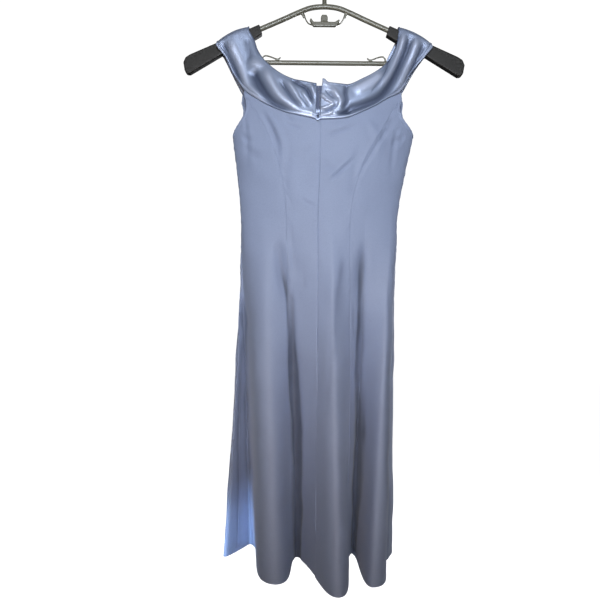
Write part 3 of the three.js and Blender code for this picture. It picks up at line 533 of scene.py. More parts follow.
def tapeMaterial():
    look = tapeLook
    material, tree, shader, place = newMaterial("zipTape", Roughness=look["roughness"], Sheen_Weight=look["sheen"])
    ribs = addWave(tree, place["UV"], look["rib"], "X", 0.4)
    tree.links.new(addRamp(tree, ribs, look["stops"]), shader["Base Color"])
    addBump(tree, shader, ribs, look)
    return material


def threadMaterial():
    look = threadLook
    material, tree, shader, place = newMaterial("thread", Roughness=look["roughness"], Sheen_Weight=look["sheen"])
    twist = addNoise(tree, place["Object"], look["twist"], 2)
    tree.links.new(addRamp(tree, twist, look["stops"]), shader["Base Color"])
    return material


def coilMaterial():
    look = coilLook
    material, tree, shader, place = newMaterial("zipCoil", Roughness=look["roughness"], Specular_IOR_Level=0.3)
    worn = addNoise(tree, place["Object"], look["worn"], 2)
    tree.links.new(addRamp(tree, worn, look["stops"]), shader["Base Color"])
    return material


def zipMetalMaterial():
    look = metalLook
    material, tree, shader, place = newMaterial("zipMetal", Metallic=look["metallic"])
    worn = addNoise(tree, place["Object"], look["worn"], 4, 0.6)
    tree.links.new(addRamp(tree, worn, look["stops"]), shader["Base Color"])
    tree.links.new(addMath(tree, "MULTIPLY", worn, look["roughness"]), shader["Roughness"])
    return material


def plasticMaterial():
    look = plasticLook
    material, tree, shader, place = newMaterial("smokyPlastic", IOR=1.49, Coat_Weight=0.3, Coat_Roughness=0.1)
    cloud = addNoise(tree, place["Object"], look["cloud"])
    warm = tuple(level * look["warmer"] for level in look["base"])
    tree.links.new(addRamp(tree, cloud, [(0.3, look["base"]), (0.7, warm)]), shader["Base Color"])
    addRoughness(tree, shader, addNoise(tree, place["Object"], look["scuff"], 5, 0.65), look)
    addBump(tree, shader, addNoise(tree, place["Object"], look["wave"], 2), look)
    return material


def gripMaterial():
    look = gripLook
    material, tree, shader, place = newMaterial("blackGrip", Specular_IOR_Level=0.45)
    scuff = addNoise(tree, place["Object"], look["scuff"], 5, 0.7)
    tree.links.new(addRamp(tree, scuff, [(0.45, look["base"]), (0.85, look["worn"])]), shader["Base Color"])
    addRoughness(tree, shader, scuff, look)
    addBump(tree, shader, addNoise(tree, place["Object"], look["grain"], 2), look)
    return material


materials = {
    "crepe": crepeMaterial(), "satin": satinMaterial(), "zipTape": tapeMaterial(), "thread": threadMaterial(),
    "zipCoil": coilMaterial(), "zipMetal": zipMetalMaterial(),
    "smokyPlastic": plasticMaterial(), "blackGrip": gripMaterial(),
}
print("materials ready")


# Gores of the bodice and skirt, all on one grid round the dress so that their seams meet
# valleyShade and creaseShade set how much shade is painted in the valleys and in the sunk creases
goreCloth = {
    "half": 0.5, "hemHalf": 0.85, "hemDepth": 22, "hemRamp": 1.6, "edgeRadius": 0.55,
    "grooves": (0.5, 0.22, 0.35, 0.3, 0.3, 0.35, 0.22), "centreDip": 0.24, "seamDip": 0.12, "seamWidth": 1.1,
    "bodiceRows": 60, "skirtRows": 142, "waistSoftness": 42, "waistRounds": 70,
    "pucker": 0.26, "puckerSize": 7, "puckerReach": 8, "calmFrom": -430, "calmRamp": 200,
    "uneven": 0.75, "unevenSize": 62, "fine": 0.3, "fineSize": 24, "calmTop": 34, "roundLength": 850,
    "fuller": 5, "fullerWidth": 0.5, "fullerFrom": -470, "fullerRamp": 190, "flareReach": 17, "flareDepth": 11,
    "flareShift": 0.15, "valleyReach": 11, "valleyFrom": 0.9, "valleyRamp": 3.4, "valleyShade": 0.6, "creaseShade": 0.12,
}
# How far in from an edge the cloth's close rows lie, which round it off
edgeSteps = np.array([0, 0.1, 0.3, 0.7, 1.5])

# A crease has a weaker one of the other sign on both sides of it
creaseShape = {"fadeIn": 0.3, "fadeOut": 0.45, "aside": 1.9, "above": 0.35, "below": 0.2}
# Creases of the gores seen straight on: from one point to another, how far the middle bows, half width and height
goreCreases = {
    "back": [
        ((-103, -247), (-70, -345), 9, 5, -1.5), ((-97, -243), (-62, -350), 10, 5, 1.2),
        ((-64, -259), (-46, -271), 1, 2.6, -1.1), ((-126, -250), (-122, -352), 2, 4, -0.9),
        ((-133, -282), (-108, -300), -3, 4.5, -1.2), ((-128, -300), (-92, -330), -3, 6, -0.9),
        ((113, -270), (101, -362), -3, 4, -1), ((126, -284), (92, -306), 3, 5, -1.1),
        ((60, -262), (82, -330), 8, 6, 1), ((52, -300), (40, -412), -4, 7, -0.8),
        ((-58, -300), (-66, -410), 3, 7, -0.8), ((-14, -300), (-40, -322), 2, 6, -0.7),
        ((-4, -330), (30, -352), -2, 7, -0.7), ((-6, -293), (52, -272), -2, 2.2, -1.4),
        ((1, -364), (50, -320), -1, 2.6, -1.6), ((44, -366), (116, -250), 3, 3.6, -1.4),
        ((-38, -388), (-13, -400), -1, 2.4, -1.2), ((-64, -270), (-32, -279), -2, 2.2, -1.3),
        # where the skirt's valleys start
        ((-75, -441), (-52, -560), -4, 9, -3), ((-60, -446), (-47, -580), -2, 6, 1.6),
        ((61, -446), (52, -560), -3, 8, -2.6), ((27, -461), (16, -640), 2, 8, -1.5),
        ((-132, -520), (-116, -760), 3, 8, -1.6), ((100, -500), (98, -700), 2, 7, -1.4),
    ],
    "front": [
        ((-118, -290), (-84, -330), 4, 6, -1.3), ((110, -288), (78, -326), -4, 6, -1.2),
        ((-92, -300), (-60, -410), 8, 7, 1.1), ((86, -300), (52, -412), -8, 7, 1),
        ((-20, -330), (-30, -420), 3, 8, -0.9), ((24, -340), (16, -430), -3, 8, -0.8),
        ((40, -440), (38, -590), 2, 9, -2.6), ((-56, -442), (-54, -590), -3, 9, -2.4),
        ((-2, -450), (-8, -650), 3, 9, 1.6), ((-112, -470), (-106, -640), 3, 8, -2),
        ((88, -460), (84, -640), -3, 8, -2),
    ],
}


# Long folds of the skirt's back: height, painted shade along the fold, how square, length of both fades, and a path of
# x, z, reach to the left and right, and strength
skirtFolds = [
    (-3, -1, 3, (40, 5), [
        (-66, -479, 6.2, 6.2, 0.15), (-61, -521, 3.9, 6.2, 0.3), (-55, -544, 5.4, 7.8, 0.32), (-52, -591, 6.2, 7.8, 0.38),
        (-50, -638, 7, 7.8, 0.48), (-47, -677, 7.9, 7.1, 0.62), (-45, -717, 7.9, 7.9, 0.8), (-43, -749, 7.9, 7.9, 0.95),
        (-42, -790, 7.1, 6.3, 1), (-42, -830, 5.7, 6.4, 1), (-42, -871, 4.8, 6.4, 1), (-44, -913, 4, 5.6, 1),
        (-44, -966, 4, 4.8, 1)]),
    (-0.8, -0.4, 2, (40, 40), [
        (-67, -498, 1.8, 2.5, 1), (-61, -525, 1.9, 2.5, 1), (-60, -552, 1.9, 2.8, 1), (-58, -583, 1.9, 2.8, 1),
        (-57, -614, 1.9, 2.8, 1), (-57, -645, 1.9, 3.1, 1), (-55, -676, 1.9, 3.1, 1), (-53, -700, 1.9, 3.1, 1),
        (-51, -739, 1.9, 3.1, 1)]),
    (-3, -1, 3, (40, 5), [
        (57, -456, 6.2, 6.2, 0.15), (56, -490, 4.6, 6.2, 0.25), (54, -521, 3.4, 4.6, 0.36), (52, -544, 2.9, 3.9, 0.5),
        (51, -583, 2.6, 3.4, 0.6), (49, -614, 2.7, 3.4, 0.6), (47, -654, 2.7, 3.8, 0.58), (47, -685, 2.7, 5.5, 0.5),
        (50, -717, 4.7, 9.4, 0.45), (53, -749, 7.9, 10.3, 0.55), (53, -781, 7.9, 8.7, 0.8), (52, -814, 7.1, 7.9, 0.95),
        (51, -846, 6.4, 7.2, 1), (50, -879, 5.6, 5.6, 1), (48, -912, 4, 4.8, 1), (47, -958, 3.2, 4.8, 1)]),
    (0, -0.5, 2, (40, 40), [
        (60, -656, 3.9, 3.9, 0.5), (60, -700, 3.9, 3.9, 0.8), (61, -739, 3.1, 3.1, 1), (58, -787, 3.1, 3.1, 1)]),
    (-0.6, -0.3, 2, (30, 30), [(41, -538, 1.5, 1.9, 1), (42, -583, 1.5, 1.9, 1), (46, -621, 1.5, 1.9, 1)]),
    (0, -0.34, 2, (30, 90), [
        (28, -471, 4.6, 4.6, 1), (23, -495, 5.2, 4.6, 1), (18, -521, 5.2, 4.6, 0.9), (15, -544, 5.1, 4.5, 0.8),
        (12, -589, 5.1, 4.5, 0.8), (8, -634, 4.5, 4.5, 0.7), (5, -671, 4.5, 4.5, 0.6), (2, -707, 4.4, 4.4, 0.5),
        (-3, -765, 4.4, 4.4, 0.4)]),
    (-0.4, -0.14, 2, (20, 20), [(-35, -492, 3.8, 4.6, 1), (-32, -539, 3.8, 4.6, 1)]),
    (-0.8, -0.5, 2, (60, 10), [
        (-133, -576, 2.2, 3.8, 0.7), (-134, -616, 2.2, 3.8, 1), (-136, -664, 2.2, 3.8, 1), (-137, -705, 2.3, 3.9, 1),
        (-139, -754, 2.3, 3.9, 1), (-140, -820, 2.3, 3.9, 1), (-141, -871, 2.3, 3.3, 1), (-140, -921, 2.3, 3, 0.8),
        (-138, -955, 2.3, 3, 0.6)]),
    (-0.6, -0.45, 2.4, (60, 20), [
        (101, -578, 4.6, 4.6, 0.5), (97, -645, 5.4, 4.7, 0.8), (93, -700, 5.5, 5.5, 1), (92, -747, 5.5, 5.5, 1),
        (92, -811, 5.5, 5.5, 1), (94, -875, 5.5, 5.5, 1), (97, -943, 5.5, 5.5, 1)]),
    (-0.6, -0.35, 2, (40, 40), [
        (105, -622, 1.6, 1.9, 1), (102, -677, 1.6, 1.9, 1), (100, -733, 1.6, 1.9, 1), (99, -797, 1.6, 1.9, 1),
        (99, -870, 1.6, 1.9, 1)]),
]


# The skirt's long folds on the back: their relief, and the shade painted along them
def uprightRelief(points, normals, folds):
    relief, paintedShadings = np.zeros(points.shape[:2]), np.zeros(points.shape[:2])
    x, z = points[..., 0], points[..., 2]
    seen = smoothStep(-normals[..., 1] / 0.2)
    for height, paintedShading, power, (fadeIn, fadeOut), path in folds:
        pathX, pathZ, left, right, strength = np.array(path, float).T
        off = x - np.interp(-z, -pathZ, pathX)
        reach = np.where(off < 0, np.interp(-z, -pathZ, left), np.interp(-z, -pathZ, right))
        shape = smoothStep((pathZ[0] - z) / fadeIn) * smoothStep((z - pathZ[-1]) / fadeOut)
        shape = shape * np.interp(-z, -pathZ, strength)
        shape = seen * shape * np.exp(-(np.abs(off) / reach) ** power)
        relief += height * shape
        paintedShadings += paintedShading * shape
    return relief, paintedShadings


def creaseRelief(points, normals):
    relief = np.zeros(points.shape[:2])
    x, z = points[..., 0], points[..., 2]
    facesBack = normals[..., 1] < 0
    for face, creases in goreCreases.items():
        for start, end, bow, halfWidth, height in creases:
            start, end = np.array(start, float), np.array(end, float)
            length = np.linalg.norm(end - start)
            along = (end - start) / length
            across = np.array([-along[1], along[0]])
            t = ((x - start[0]) * along[0] + (z - start[1]) * along[1]) / length
            off = (x - start[0]) * across[0] + (z - start[1]) * across[1] - bow * np.sin(math.pi * np.clip(t, 0, 1))
            fade = smoothStep(t / creaseShape["fadeIn"]) * smoothStep((1 - t) / creaseShape["fadeOut"])
            half = halfWidth * (0.7 + 0.6 * np.clip(t, 0, 1))
            aside = creaseShape["aside"] * half
            shape = bell(off, half) - creaseShape["above"] * bell(off - aside, half)
            shape = shape - creaseShape["below"] * bell(off + aside, half)
            relief += np.where(facesBack == (face == "back"), height * fade * shape, 0)
    return relief


# Where a gore's columns stand along its hem: closer together where the hem turns
def columnShares(index, count):
    steps, turnWeight = 480, 8
    places = seamFeet[index] + (seamFeet[index + 1] - seamFeet[index]) * np.arange(-1, steps + 2) / steps
    points = hemAt(places)
    strides = np.diff(points, axis=0)
    turn = np.abs(np.arctan2(strides[:-1, 0] * strides[1:, 1] - strides[:-1, 1] * strides[1:, 0],
                             (strides[:-1] * strides[1:]).sum(1)))
    weights = np.concatenate([[0], np.cumsum(np.linalg.norm(strides[:-2], axis=1) + turnWeight * turn[:-1])])
    return np.interp(np.linspace(0, weights[-1], count + 1), weights, np.linspace(0, 1, len(weights)))


# Middle points of one gore, from its top edge down to the hem, and how far each lies below the top edge
def goreGrid(index):
    shares = columnShares(index, panels[index]["columns"])
    tops = topEdgeZ(index, np.concatenate([np.zeros(len(edgeSteps) - 1), shares, np.ones(len(edgeSteps) - 1)]))
    waistZ, hemZ = dressForm["waistZ"], dressForm["hemZ"]
    last = edgeSteps[-1]
    downTop = np.stack([tops - step for step in edgeSteps[:-1]])
    downBodice = lerp((tops - last)[None], waistZ, np.linspace(0, 1, goreCloth["bodiceRows"])[:, None])
    downSkirt = np.linspace(waistZ, hemZ + last, goreCloth["skirtRows"])[1:]
    downHem = hemZ + edgeSteps[:-1][::-1]
    z = np.vstack([downTop, downBodice, np.repeat(np.concatenate([downSkirt, downHem])[:, None], len(tops), 1)])
    start = z[:, 0]
    end = z[:, -1]
    near = 0.02
    startWidth = np.linalg.norm(dressPoint(index, near, start) - dressPoint(index, 0.0, start), axis=-1) / near
    endWidth = np.linalg.norm(dressPoint(index, 1.0, end) - dressPoint(index, 1 - near, end), axis=-1) / near
    inner = lerp((last / startWidth)[:, None], (1 - last / endWidth)[:, None], shares[None, :])
    parts = np.hstack([edgeSteps[None, :-1] / startWidth[:, None], inner,
                       1 - edgeSteps[None, :-1][:, ::-1] / endWidth[:, None]])
    return dressPoint(index, parts, z), tops[None] - z


# How far each point lies below the cloth's own smoothed rows: positive in a valley and negative on a ridge
def valleyDepth(points, normals, around, reach):
    depth = np.zeros(points.shape[:2])
    samples = 720
    for row in range(len(points)):
        length = around[row, -1]
        even = np.linspace(0, length, samples, endpoint=False)
        closed = np.vstack([points[row], points[row, :1]])
        blur = np.exp(-0.5 * (2 * math.pi * np.fft.rfftfreq(samples, length / samples) * reach) ** 2)
        ring = np.stack([np.interp(even, around[row], closed[:, k]) for k in range(2)], -1)
        smooth = np.fft.irfft(np.fft.rfft(ring, axis=0) * blur[:, None], samples, axis=0)
        calm = np.stack([np.interp(around[row, :-1], even, smooth[:, k], period=length) for k in range(2)], -1)
        depth[row] = ((calm - points[row, :, :2]) * normals[row, :, :2]).sum(-1)
    return depth


# The whole dress's outer form, with its unevenness, seams, creases and folds, and the shade painted at each point along
# its folds, creases and valleys
def goreSurface():
    cloth = goreCloth
    grids = [goreGrid(index) for index in range(len(panels))]
    points = np.concatenate([grid[:, :-1] for grid, _ in grids], 1)
    fromTop = np.concatenate([gap[:, :-1] for _, gap in grids], 1)
    starts = np.concatenate([[0], np.cumsum([grid.shape[1] - 1 for grid, _ in grids])])
    z = points[..., 2]
    near = bell(z - dressForm["waistZ"], cloth["waistSoftness"])[1:-1, :, None]
    for _ in range(cloth["waistRounds"]):
        middle = (points[:-2, :, :2] + points[2:, :, :2]) / 2
        points[1:-1, :, :2] += near * (middle - points[1:-1, :, :2]) * 0.5
    normals = gridNormals(points, wrap=True)
    row = len(points) // 2
    if (normals[row, :, :2] * (points[row, :, :2] - points[row, :, :2].mean(0))).sum() < 0:
        normals = -normals
    around = arcLengths(np.concatenate([points, points[:, :1]], 1), 1)
    down = arcLengths(points, 0)
    place = np.arange(points.shape[1])[None] * (cloth["roundLength"] / points.shape[1])
    relief = cloth["uneven"] * softNoise(place, z, cloth["unevenSize"], 11)
    relief += cloth["fine"] * softNoise(place, z, cloth["fineSize"], 12)
    relief *= smoothStep(fromTop / cloth["calmTop"])
    calmer = lerp(1, 0.5, smoothStep((cloth["calmFrom"] - z) / cloth["calmRamp"]))
    for k in range(len(seams)):
        gap = np.abs(around[:, :-1] - around[:, starts[k]:starts[k] + 1])
        gap = np.minimum(gap, around[:, -1:] - gap)
        ripple = softNoise(down + 200 * k, gap * 0.3, cloth["puckerSize"], 30 + k)
        relief -= cloth["centreDip" if k == 0 else "seamDip"] * bell(gap, cloth["seamWidth"])
        relief += cloth["pucker"] * ripple * bell(gap, cloth["puckerReach"]) * calmer
    folded, foldShading = uprightRelief(points, normals, skirtFolds)
    creases = creaseRelief(points, normals)
    relief += creases + folded
    slope = valleyDepth(points, normals, around, cloth["flareReach"]) / cloth["flareDepth"]
    fuller = cloth["fuller"] * bell(slope - cloth["flareShift"], cloth["fullerWidth"])
    fuller *= smoothStep((cloth["fullerFrom"] - z) / cloth["fullerRamp"])
    points = points + normals * relief[..., None]
    points[..., 1] += fuller * np.sign(normals[..., 1]) * smoothStep(np.abs(normals[..., 1]) / 0.4)
    sign = np.sign((normals * gridNormals(points, wrap=True)).sum(-1, keepdims=True))
    normals = gridNormals(points, wrap=True) * sign
    depth = valleyDepth(points, normals, around, cloth["valleyReach"])
    # Painted shade: darker along the back's long skirt folds, in sunk creases and deep in the valleys between the
    # flares
    paintedShading = foldShading + cloth["creaseShade"] * np.clip(creases, -1.3, 0)
    paintedShading -= cloth["valleyShade"] * smoothStep((depth - cloth["valleyFrom"]) / cloth["valleyRamp"])
    return points, normals, around, down, fromTop, starts, np.maximum(paintedShading, -1)


gorePoints, goreNormals, goreAround, goreDown, goreFromTop, goreStarts, goreShading = goreSurface()
print("gore surface:", gorePoints.shape)


def wrapColumns(values, first, last):
    return np.take(values, np.arange(first, last + 1) % values.shape[1], axis=1)


def makeGore(index):
    cloth, name = goreCloth, panels[index]["name"]
    first, last = goreStarts[index], goreStarts[index + 1]
    points, normals = wrapColumns(gorePoints, first, last), wrapColumns(goreNormals, first, last)
    fromStart = goreAround[:, first:last + 1] - goreAround[:, first:first + 1]
    fromEnd = goreAround[:, last:last + 1] - goreAround[:, first:last + 1]
    fromTop = wrapColumns(goreFromTop, first, last)
    fromHem = points[..., 2] - points[-1:, :, 2]
    half = lerp(cloth["half"], cloth["hemHalf"], smoothStep((cloth["hemDepth"] - fromHem) / cloth["hemRamp"] + 0.5))
    groove = lerp(cloth["grooves"][index], cloth["grooves"][(index + 1) % len(panels)], fromStart / fromStart[:, -1:])
    half = half * roundedEdge(np.minimum(fromStart, fromEnd), groove)
    half = half * roundedEdge(np.minimum(fromTop, fromHem), cloth["edgeRadius"] * 1.3)
    middle = fromStart.shape[1] // 2
    uv = np.stack([fromStart - fromStart[:, middle:middle + 1], -wrapColumns(goreDown, first, last)], -1)
    mesh = shellMesh(name, points, normals, half, uv, wrapColumns(goreShading, first, last))
    mesh.materials.append(materials["crepe"])
    return makeObject(name + "_cloth", mesh)


# Satin collar: a folded band round the neck, rolled over the hanger at the shoulders
# ridgeShadeFrom and ridgeShadeRamp place the shade painted over the top of the shoulder
collarCloth = {
    "half": 0.95, "seat": 1.75, "edgeRadius": 1.6, "ridgeRadius": 0.5, "wrapRadius": 9.3, "wrapAngles": (30, 60, 90),
    "ridgeDrop": 1.1, "width": 57.0, "along": 196, "alongFront": 310, "across": 80, "puff": 2.6,
    "endStep": 1.6, "sideStep": 2.2, "shoulderShare": 0.15, "zipShare": 0.3, "zipRamp": 5, "roundness": 0.7,
    "foldReach": 1.7, "shoulderFrom": 0.035, "shoulderRamp": 0.085, "ridgeShadeFrom": 0.06, "ridgeShadeRamp": 0.09,
    "uneven": 0.3, "unevenSize": 24, "seeds": {"backLeft": 51, "backRight": 52, "front": 53},
    "corner": (-3, 4, 5.5), "zipEnd": 22,
}
# Rolls and dips along both edges of the band, and the highlight painted along the free edge and shade along the neck
# edge: distance from the edge, half width, and height, which for the painted light is its strength
edgeRolls = {"free": [(1.9, 1.3, 0.55), (4.6, 1.5, -0.5)], "neck": [(1.6, 1.2, 0.3), (3.8, 1.2, -0.3)]}
edgeShading = {"free": [(2, 1.2, 0.7)], "neck": [(1.2, 1.2, -0.4)]}
# Folds of the back's satin seen straight on: height, painted light (highlight above 0, shade below 0), how square, how
# far each reaches to its left and right at its start and at its end, fades and path
collarFolds = {
    "backLeft": [
        (-2, -0.9, 2.2, (4, 4.6, 4.4, 4.6), (0.15, 0.25), [
            (-162, -137), (-155, -154), (-147, -172), (-137, -193), (-128, -211)]),
        (1.8, 0.9, 2.6, (6.5, 6.5, 5, 3.4), (0.15, 0.3), [
            (-151, -132), (-143, -152), (-134, -172), (-128, -193), (-121, -211), (-109, -224), (-93, -237), (-76, -246)]),
        (-1.2, -0.55, 2, (6, 5, 5, 5), (0.3, 0.35), [(-126, -127), (-121, -147), (-119, -164), (-122, -181)]),
        (-0.6, -0.5, 2, (4, 4, 3, 3), (0.2, 0.3), [(-116, -123), (-110, -143), (-105, -157), (-97, -167)]),
        (-3.4, -1, 2.4, (7, 8, 7, 8), (0.12, 0.3), [
            (-114, -183), (-106, -202), (-95, -222), (-81, -240), (-61, -251), (-41, -257)]),
        (2.4, 0.95, 2.6, (6, 6, 5, 5), (0.2, 0.3), [
            (-95, -181), (-88, -199), (-77, -220), (-63, -237), (-49, -248), (-30, -258)]),
        (-2.6, -0.8, 2.2, (3.4, 3.4, 3, 3), (0.3, 0.3), [(-72, -202), (-61, -220), (-49, -238), (-35, -251)]),
        (1.8, 0.7, 2.4, (3.4, 3.6, 2.6, 3), (0.25, 0.3), [(-61, -202), (-50, -220), (-38, -238), (-26, -252)]),
        (-1.5, -0.5, 2, (2, 2.4, 2, 2.4), (0.4, 0.3), [(-46, -224), (-35, -238), (-24, -251)]),
        (1.5, 0.6, 2.2, (2.4, 2.6, 2, 2.4), (0.3, 0.3), [(-38, -222), (-29, -235), (-20, -248)]),
        (-3, -1, 2.2, (4, 5, 3, 3.4), (0.2, 0.25), [(-55, -202), (-41, -211), (-29, -220), (-23, -233), (-18, -245)]),
        (1.4, 0.7, 2, (2.2, 2.4, 1.8, 2), (0.3, 0.3), [(-27, -207), (-20, -220), (-15, -235)]),
        (1.2, 0.6, 2, (5, 5, 5, 5), (0.3, 0.15), [(-44, -260), (-30, -258), (-18, -260)]),
    ],
    "backRight": [
        (-1.2, -0.7, 2, (1.4, 1.8, 1.4, 1.8), (0.15, 0.4), [(119, -123), (107, -154), (94, -181), (83, -198)]),
        (2, 0.9, 2.6, (4, 4.2, 4, 4), (0.15, 0.3), [
            (125, -123), (118, -148), (110, -171), (100, -193), (88, -211), (76, -228)]),
        (-1.4, -0.5, 2, (1.3, 1.8, 1.3, 1.8), (0.4, 0.3), [(107, -157), (97, -181), (87, -201), (74, -219), (68, -230)]),
        (-3.4, -1, 2.4, (6, 5.5, 8, 8), (0.12, 0.1), [
            (135, -124), (128, -152), (117, -176), (107, -196), (96, -216), (82, -232), (63, -243), (40, -251),
            (19, -258)]),
        (2, 0.8, 2.8, (5, 5, 9, 8), (0.15, 0.35), [
            (146, -132), (137, -155), (128, -178), (120, -199), (112, -214), (99, -225)]),
        (-2.4, -0.9, 2.2, (4.6, 4.6, 4, 3.5), (0.15, 0.3), [
            (156, -139), (146, -162), (136, -183), (127, -201), (118, -217)]),
        (2, 0.85, 3, (9, 9, 8, 8), (0.25, 0.2), [(89, -186), (76, -202), (59, -214), (40, -225)]),
        (-2.8, -0.8, 2, (3, 3.4, 3, 3.6), (0.15, 0.3), [(33, -211), (30, -225), (31, -240), (23, -254)]),
        (-2.4, -0.9, 2, (3.6, 3, 2.8, 2.8), (0.3, 0.3), [(-1, -222), (5, -228), (14, -238)]),
        (2.4, 0.9, 2, (1.7, 1.8, 1.7, 1.8), (0.25, 0.15), [(-7, -228), (0, -237), (11, -243)]),
        (2.2, 0.8, 2, (1.9, 1.7, 1.9, 1.7), (0.1, 0.25), [(13, -243), (3, -249), (-9, -252)]),
        (-2.4, -0.9, 2, (1.9, 1.9, 1.8, 1.8), (0.3, 0.3), [(-7, -257), (5, -254), (14, -248), (19, -241)]),
        (2.2, 0.8, 2, (3.4, 3.6, 3.2, 3.6), (0.3, 0.3), [(8, -217), (16, -228), (22, -241), (19, -254)]),
        (1.6, 0.7, 2, (1.8, 2, 2, 2), (0.3, 0.3), [(-7, -261), (3, -260), (13, -255)]),
        (0.2, 0.55, 3, (12, 12, 12, 12), (0.1, 0.1), [(5, -205), (7, -232), (6, -266)]),
        (-2.6, -1, 2, (3.4, 3.4, 3.4, 3.4), (0.3, 0.3), [(13, -260), (25, -258), (40, -254)]),
    ],
}
# Folds of the front band: from and to along it, where they lie across it at each end, bow, half width and height
frontFolds = [
    (0.0, 0.72, 0.16, 0.1, 0.03, 0.07, -1.3),
    (0.0, 1.0, 0.34, 0.26, 0.05, 0.1, 2.0),
    (0.1, 0.8, 0.5, 0.44, 0.06, 0.06, -1.8),
    (0.0, 1.0, 0.64, 0.7, 0.04, 0.1, 2.1),
    (0.12, 1.0, 0.86, 0.84, -0.02, 0.06, -1.6),
    (0.22, 0.66, 0.2, 0.38, 0.05, 0.045, 1.2),
    (0.42, 0.9, 0.76, 0.62, 0.06, 0.045, -1.3),
]
# Free-standing dents and bumps of the satin seen straight on: place, half lengths, turn in degrees and height
collarDents = {
    "backLeft": [(-107, -177, 11, 7, -30, 1.6), (-24, -262, 9, 4, 10, 0.9), (-17, -212, 3, 4, 0, -1.2)],
    "backRight": [(1, -213, 5, 3, 10, 1.0), (34, -212, 3, 3.5, 0, -1.2), (-4, -262, 5, 2.5, 0, 0.8),
                  (16, -236, 4, 3, -20, -0.9)],
    "front": [(-60, -216, 10, 5, 30, 1.0), (44, -226, 9, 5, -30, 1.0), (2, -238, 12, 5, 0, -0.9)],
}
zipOpening = table("z left right", [
    (-268.3, -12.7, -10.9), (-262, -15.4, -8.8), (-250.5, -15.6, -8.7), (-238, -14.6, -8.2), (-208, -14.2, -4.7),
])


def smoothPath(points, steps):
    points = np.asarray(points, float)
    padded = np.vstack([2 * points[0] - points[1], points, 2 * points[-1] - points[-2]])
    t = np.arange(steps)[:, None] / steps
    parts = []
    for i in range(1, len(padded) - 2):
        p0, p1, p2, p3 = padded[i - 1:i + 3]
        parts.append(0.5 * (2 * p1 + (p2 - p0) * t + (2 * p0 - 5 * p1 + 4 * p2 - p3) * t ** 2 + (3 * p1 - p0 - 3 * p2 + p3)
                            * t ** 3))
    return np.vstack(parts + [points[-1:]])


# Folds along paths: their relief, and the highlight and shade painted along them
def pathRelief(x, z, folds):
    relief, paintedShadings = np.zeros(x.shape), np.zeros(x.shape)
    for height, paintedShading, power, widths, (fadeIn, fadeOut), path in folds:
        line = smoothPath(path, 14)
        heading = np.gradient(line, axis=0)
        share = np.concatenate([[0], np.cumsum(np.linalg.norm(np.diff(line, axis=0), axis=1))])
        share /= share[-1]
        nearest = ((x[..., None] - line[:, 0]) ** 2 + (z[..., None] - line[:, 1]) ** 2).argmin(-1)
        ahead, offX, offZ = heading[nearest], x - line[nearest, 0], z - line[nearest, 1]
        side = ahead[..., 0] * offZ - ahead[..., 1] * offX
        along = np.clip((offX * ahead[..., 0] + offZ * ahead[..., 1]) / (ahead ** 2).sum(-1), -0.5, 0.5)
        t = np.interp(nearest + along, np.arange(len(line)), share)
        reach = np.where(side > 0, lerp(widths[0], widths[2], t), lerp(widths[1], widths[3], t))
        shape = smoothStep(t / fadeIn) * smoothStep((1 - t) / fadeOut)
        shape = shape * np.exp(-(np.abs(side) / np.linalg.norm(ahead, axis=-1) / reach) ** power)
        relief += height * shape
        paintedShadings += paintedShading * shape
    return relief, paintedShadings


def ovalFacing(angle, z):
    a = ovalPoint(angle + 0.02, z) - ovalPoint(angle - 0.02, z)
    b = ovalPoint(angle, z + 2) - ovalPoint(angle, z - 2)
    return unit(np.cross(a, b))


def ovalAngle(x, z, back):
    section = readTable(bodySections, "z", z)
    share = (x - (section["left"] + section["right"]) / 2) / ((section["right"] - section["left"]) / 2)
    return np.where(back, np.arcsin(share), math.pi - np.arcsin(share))


# The band's lines from neck edge to free edge, with the short steps that roll it over the hanger
def collarLines(name, side):
    rows = collarTables[name]
    lines = []
    for i in range(len(rows["neckX"])):
        row = {key: float(values[i]) for key, values in rows.items()}
        neck = np.array([row["neckX"], row["neckY"], row["neckZ"]])
        edge = np.array([row["edgeX"], row["edgeY"], row["edgeZ"]])
        if row["seated"]:
            angle = ovalAngle(row["edgeX"], row["edgeZ"], side < 0)
            edge = ovalPoint(angle, row["edgeZ"]) + ovalFacing(angle, row["edgeZ"]) * collarCloth["seat"]
            edge[2] = row["edgeZ"]
        if row["seated"] or row["edgeY"] != 0:
            lines.append((neck, edge, row["lift"]))
            continue
        neck[2] -= collarCloth["ridgeDrop"]
        edge[2] -= collarCloth["ridgeDrop"]
        radius = collarCloth["wrapRadius"]
        steps = []
        for degrees in collarCloth["wrapAngles"]:
            turn = math.radians(degrees)
            shift = np.array([0, side * radius * math.sin(turn), -radius * (1 - math.cos(turn))])
            steps.append((neck + shift, edge + shift, row["lift"]))
        lines += [*reversed(steps), (neck, edge, row["lift"])] if lines else [(neck, edge, row["lift"]), *steps]
    columns = {"i": np.arange(len(lines), dtype=float), "lift": np.array([line[2] for line in lines])}
    for k, axis in enumerate("XYZ"):
        columns["neck" + axis] = np.array([line[0][k] for line in lines])
        columns["edge" + axis] = np.array([line[1][k] for line in lines])
    return columns


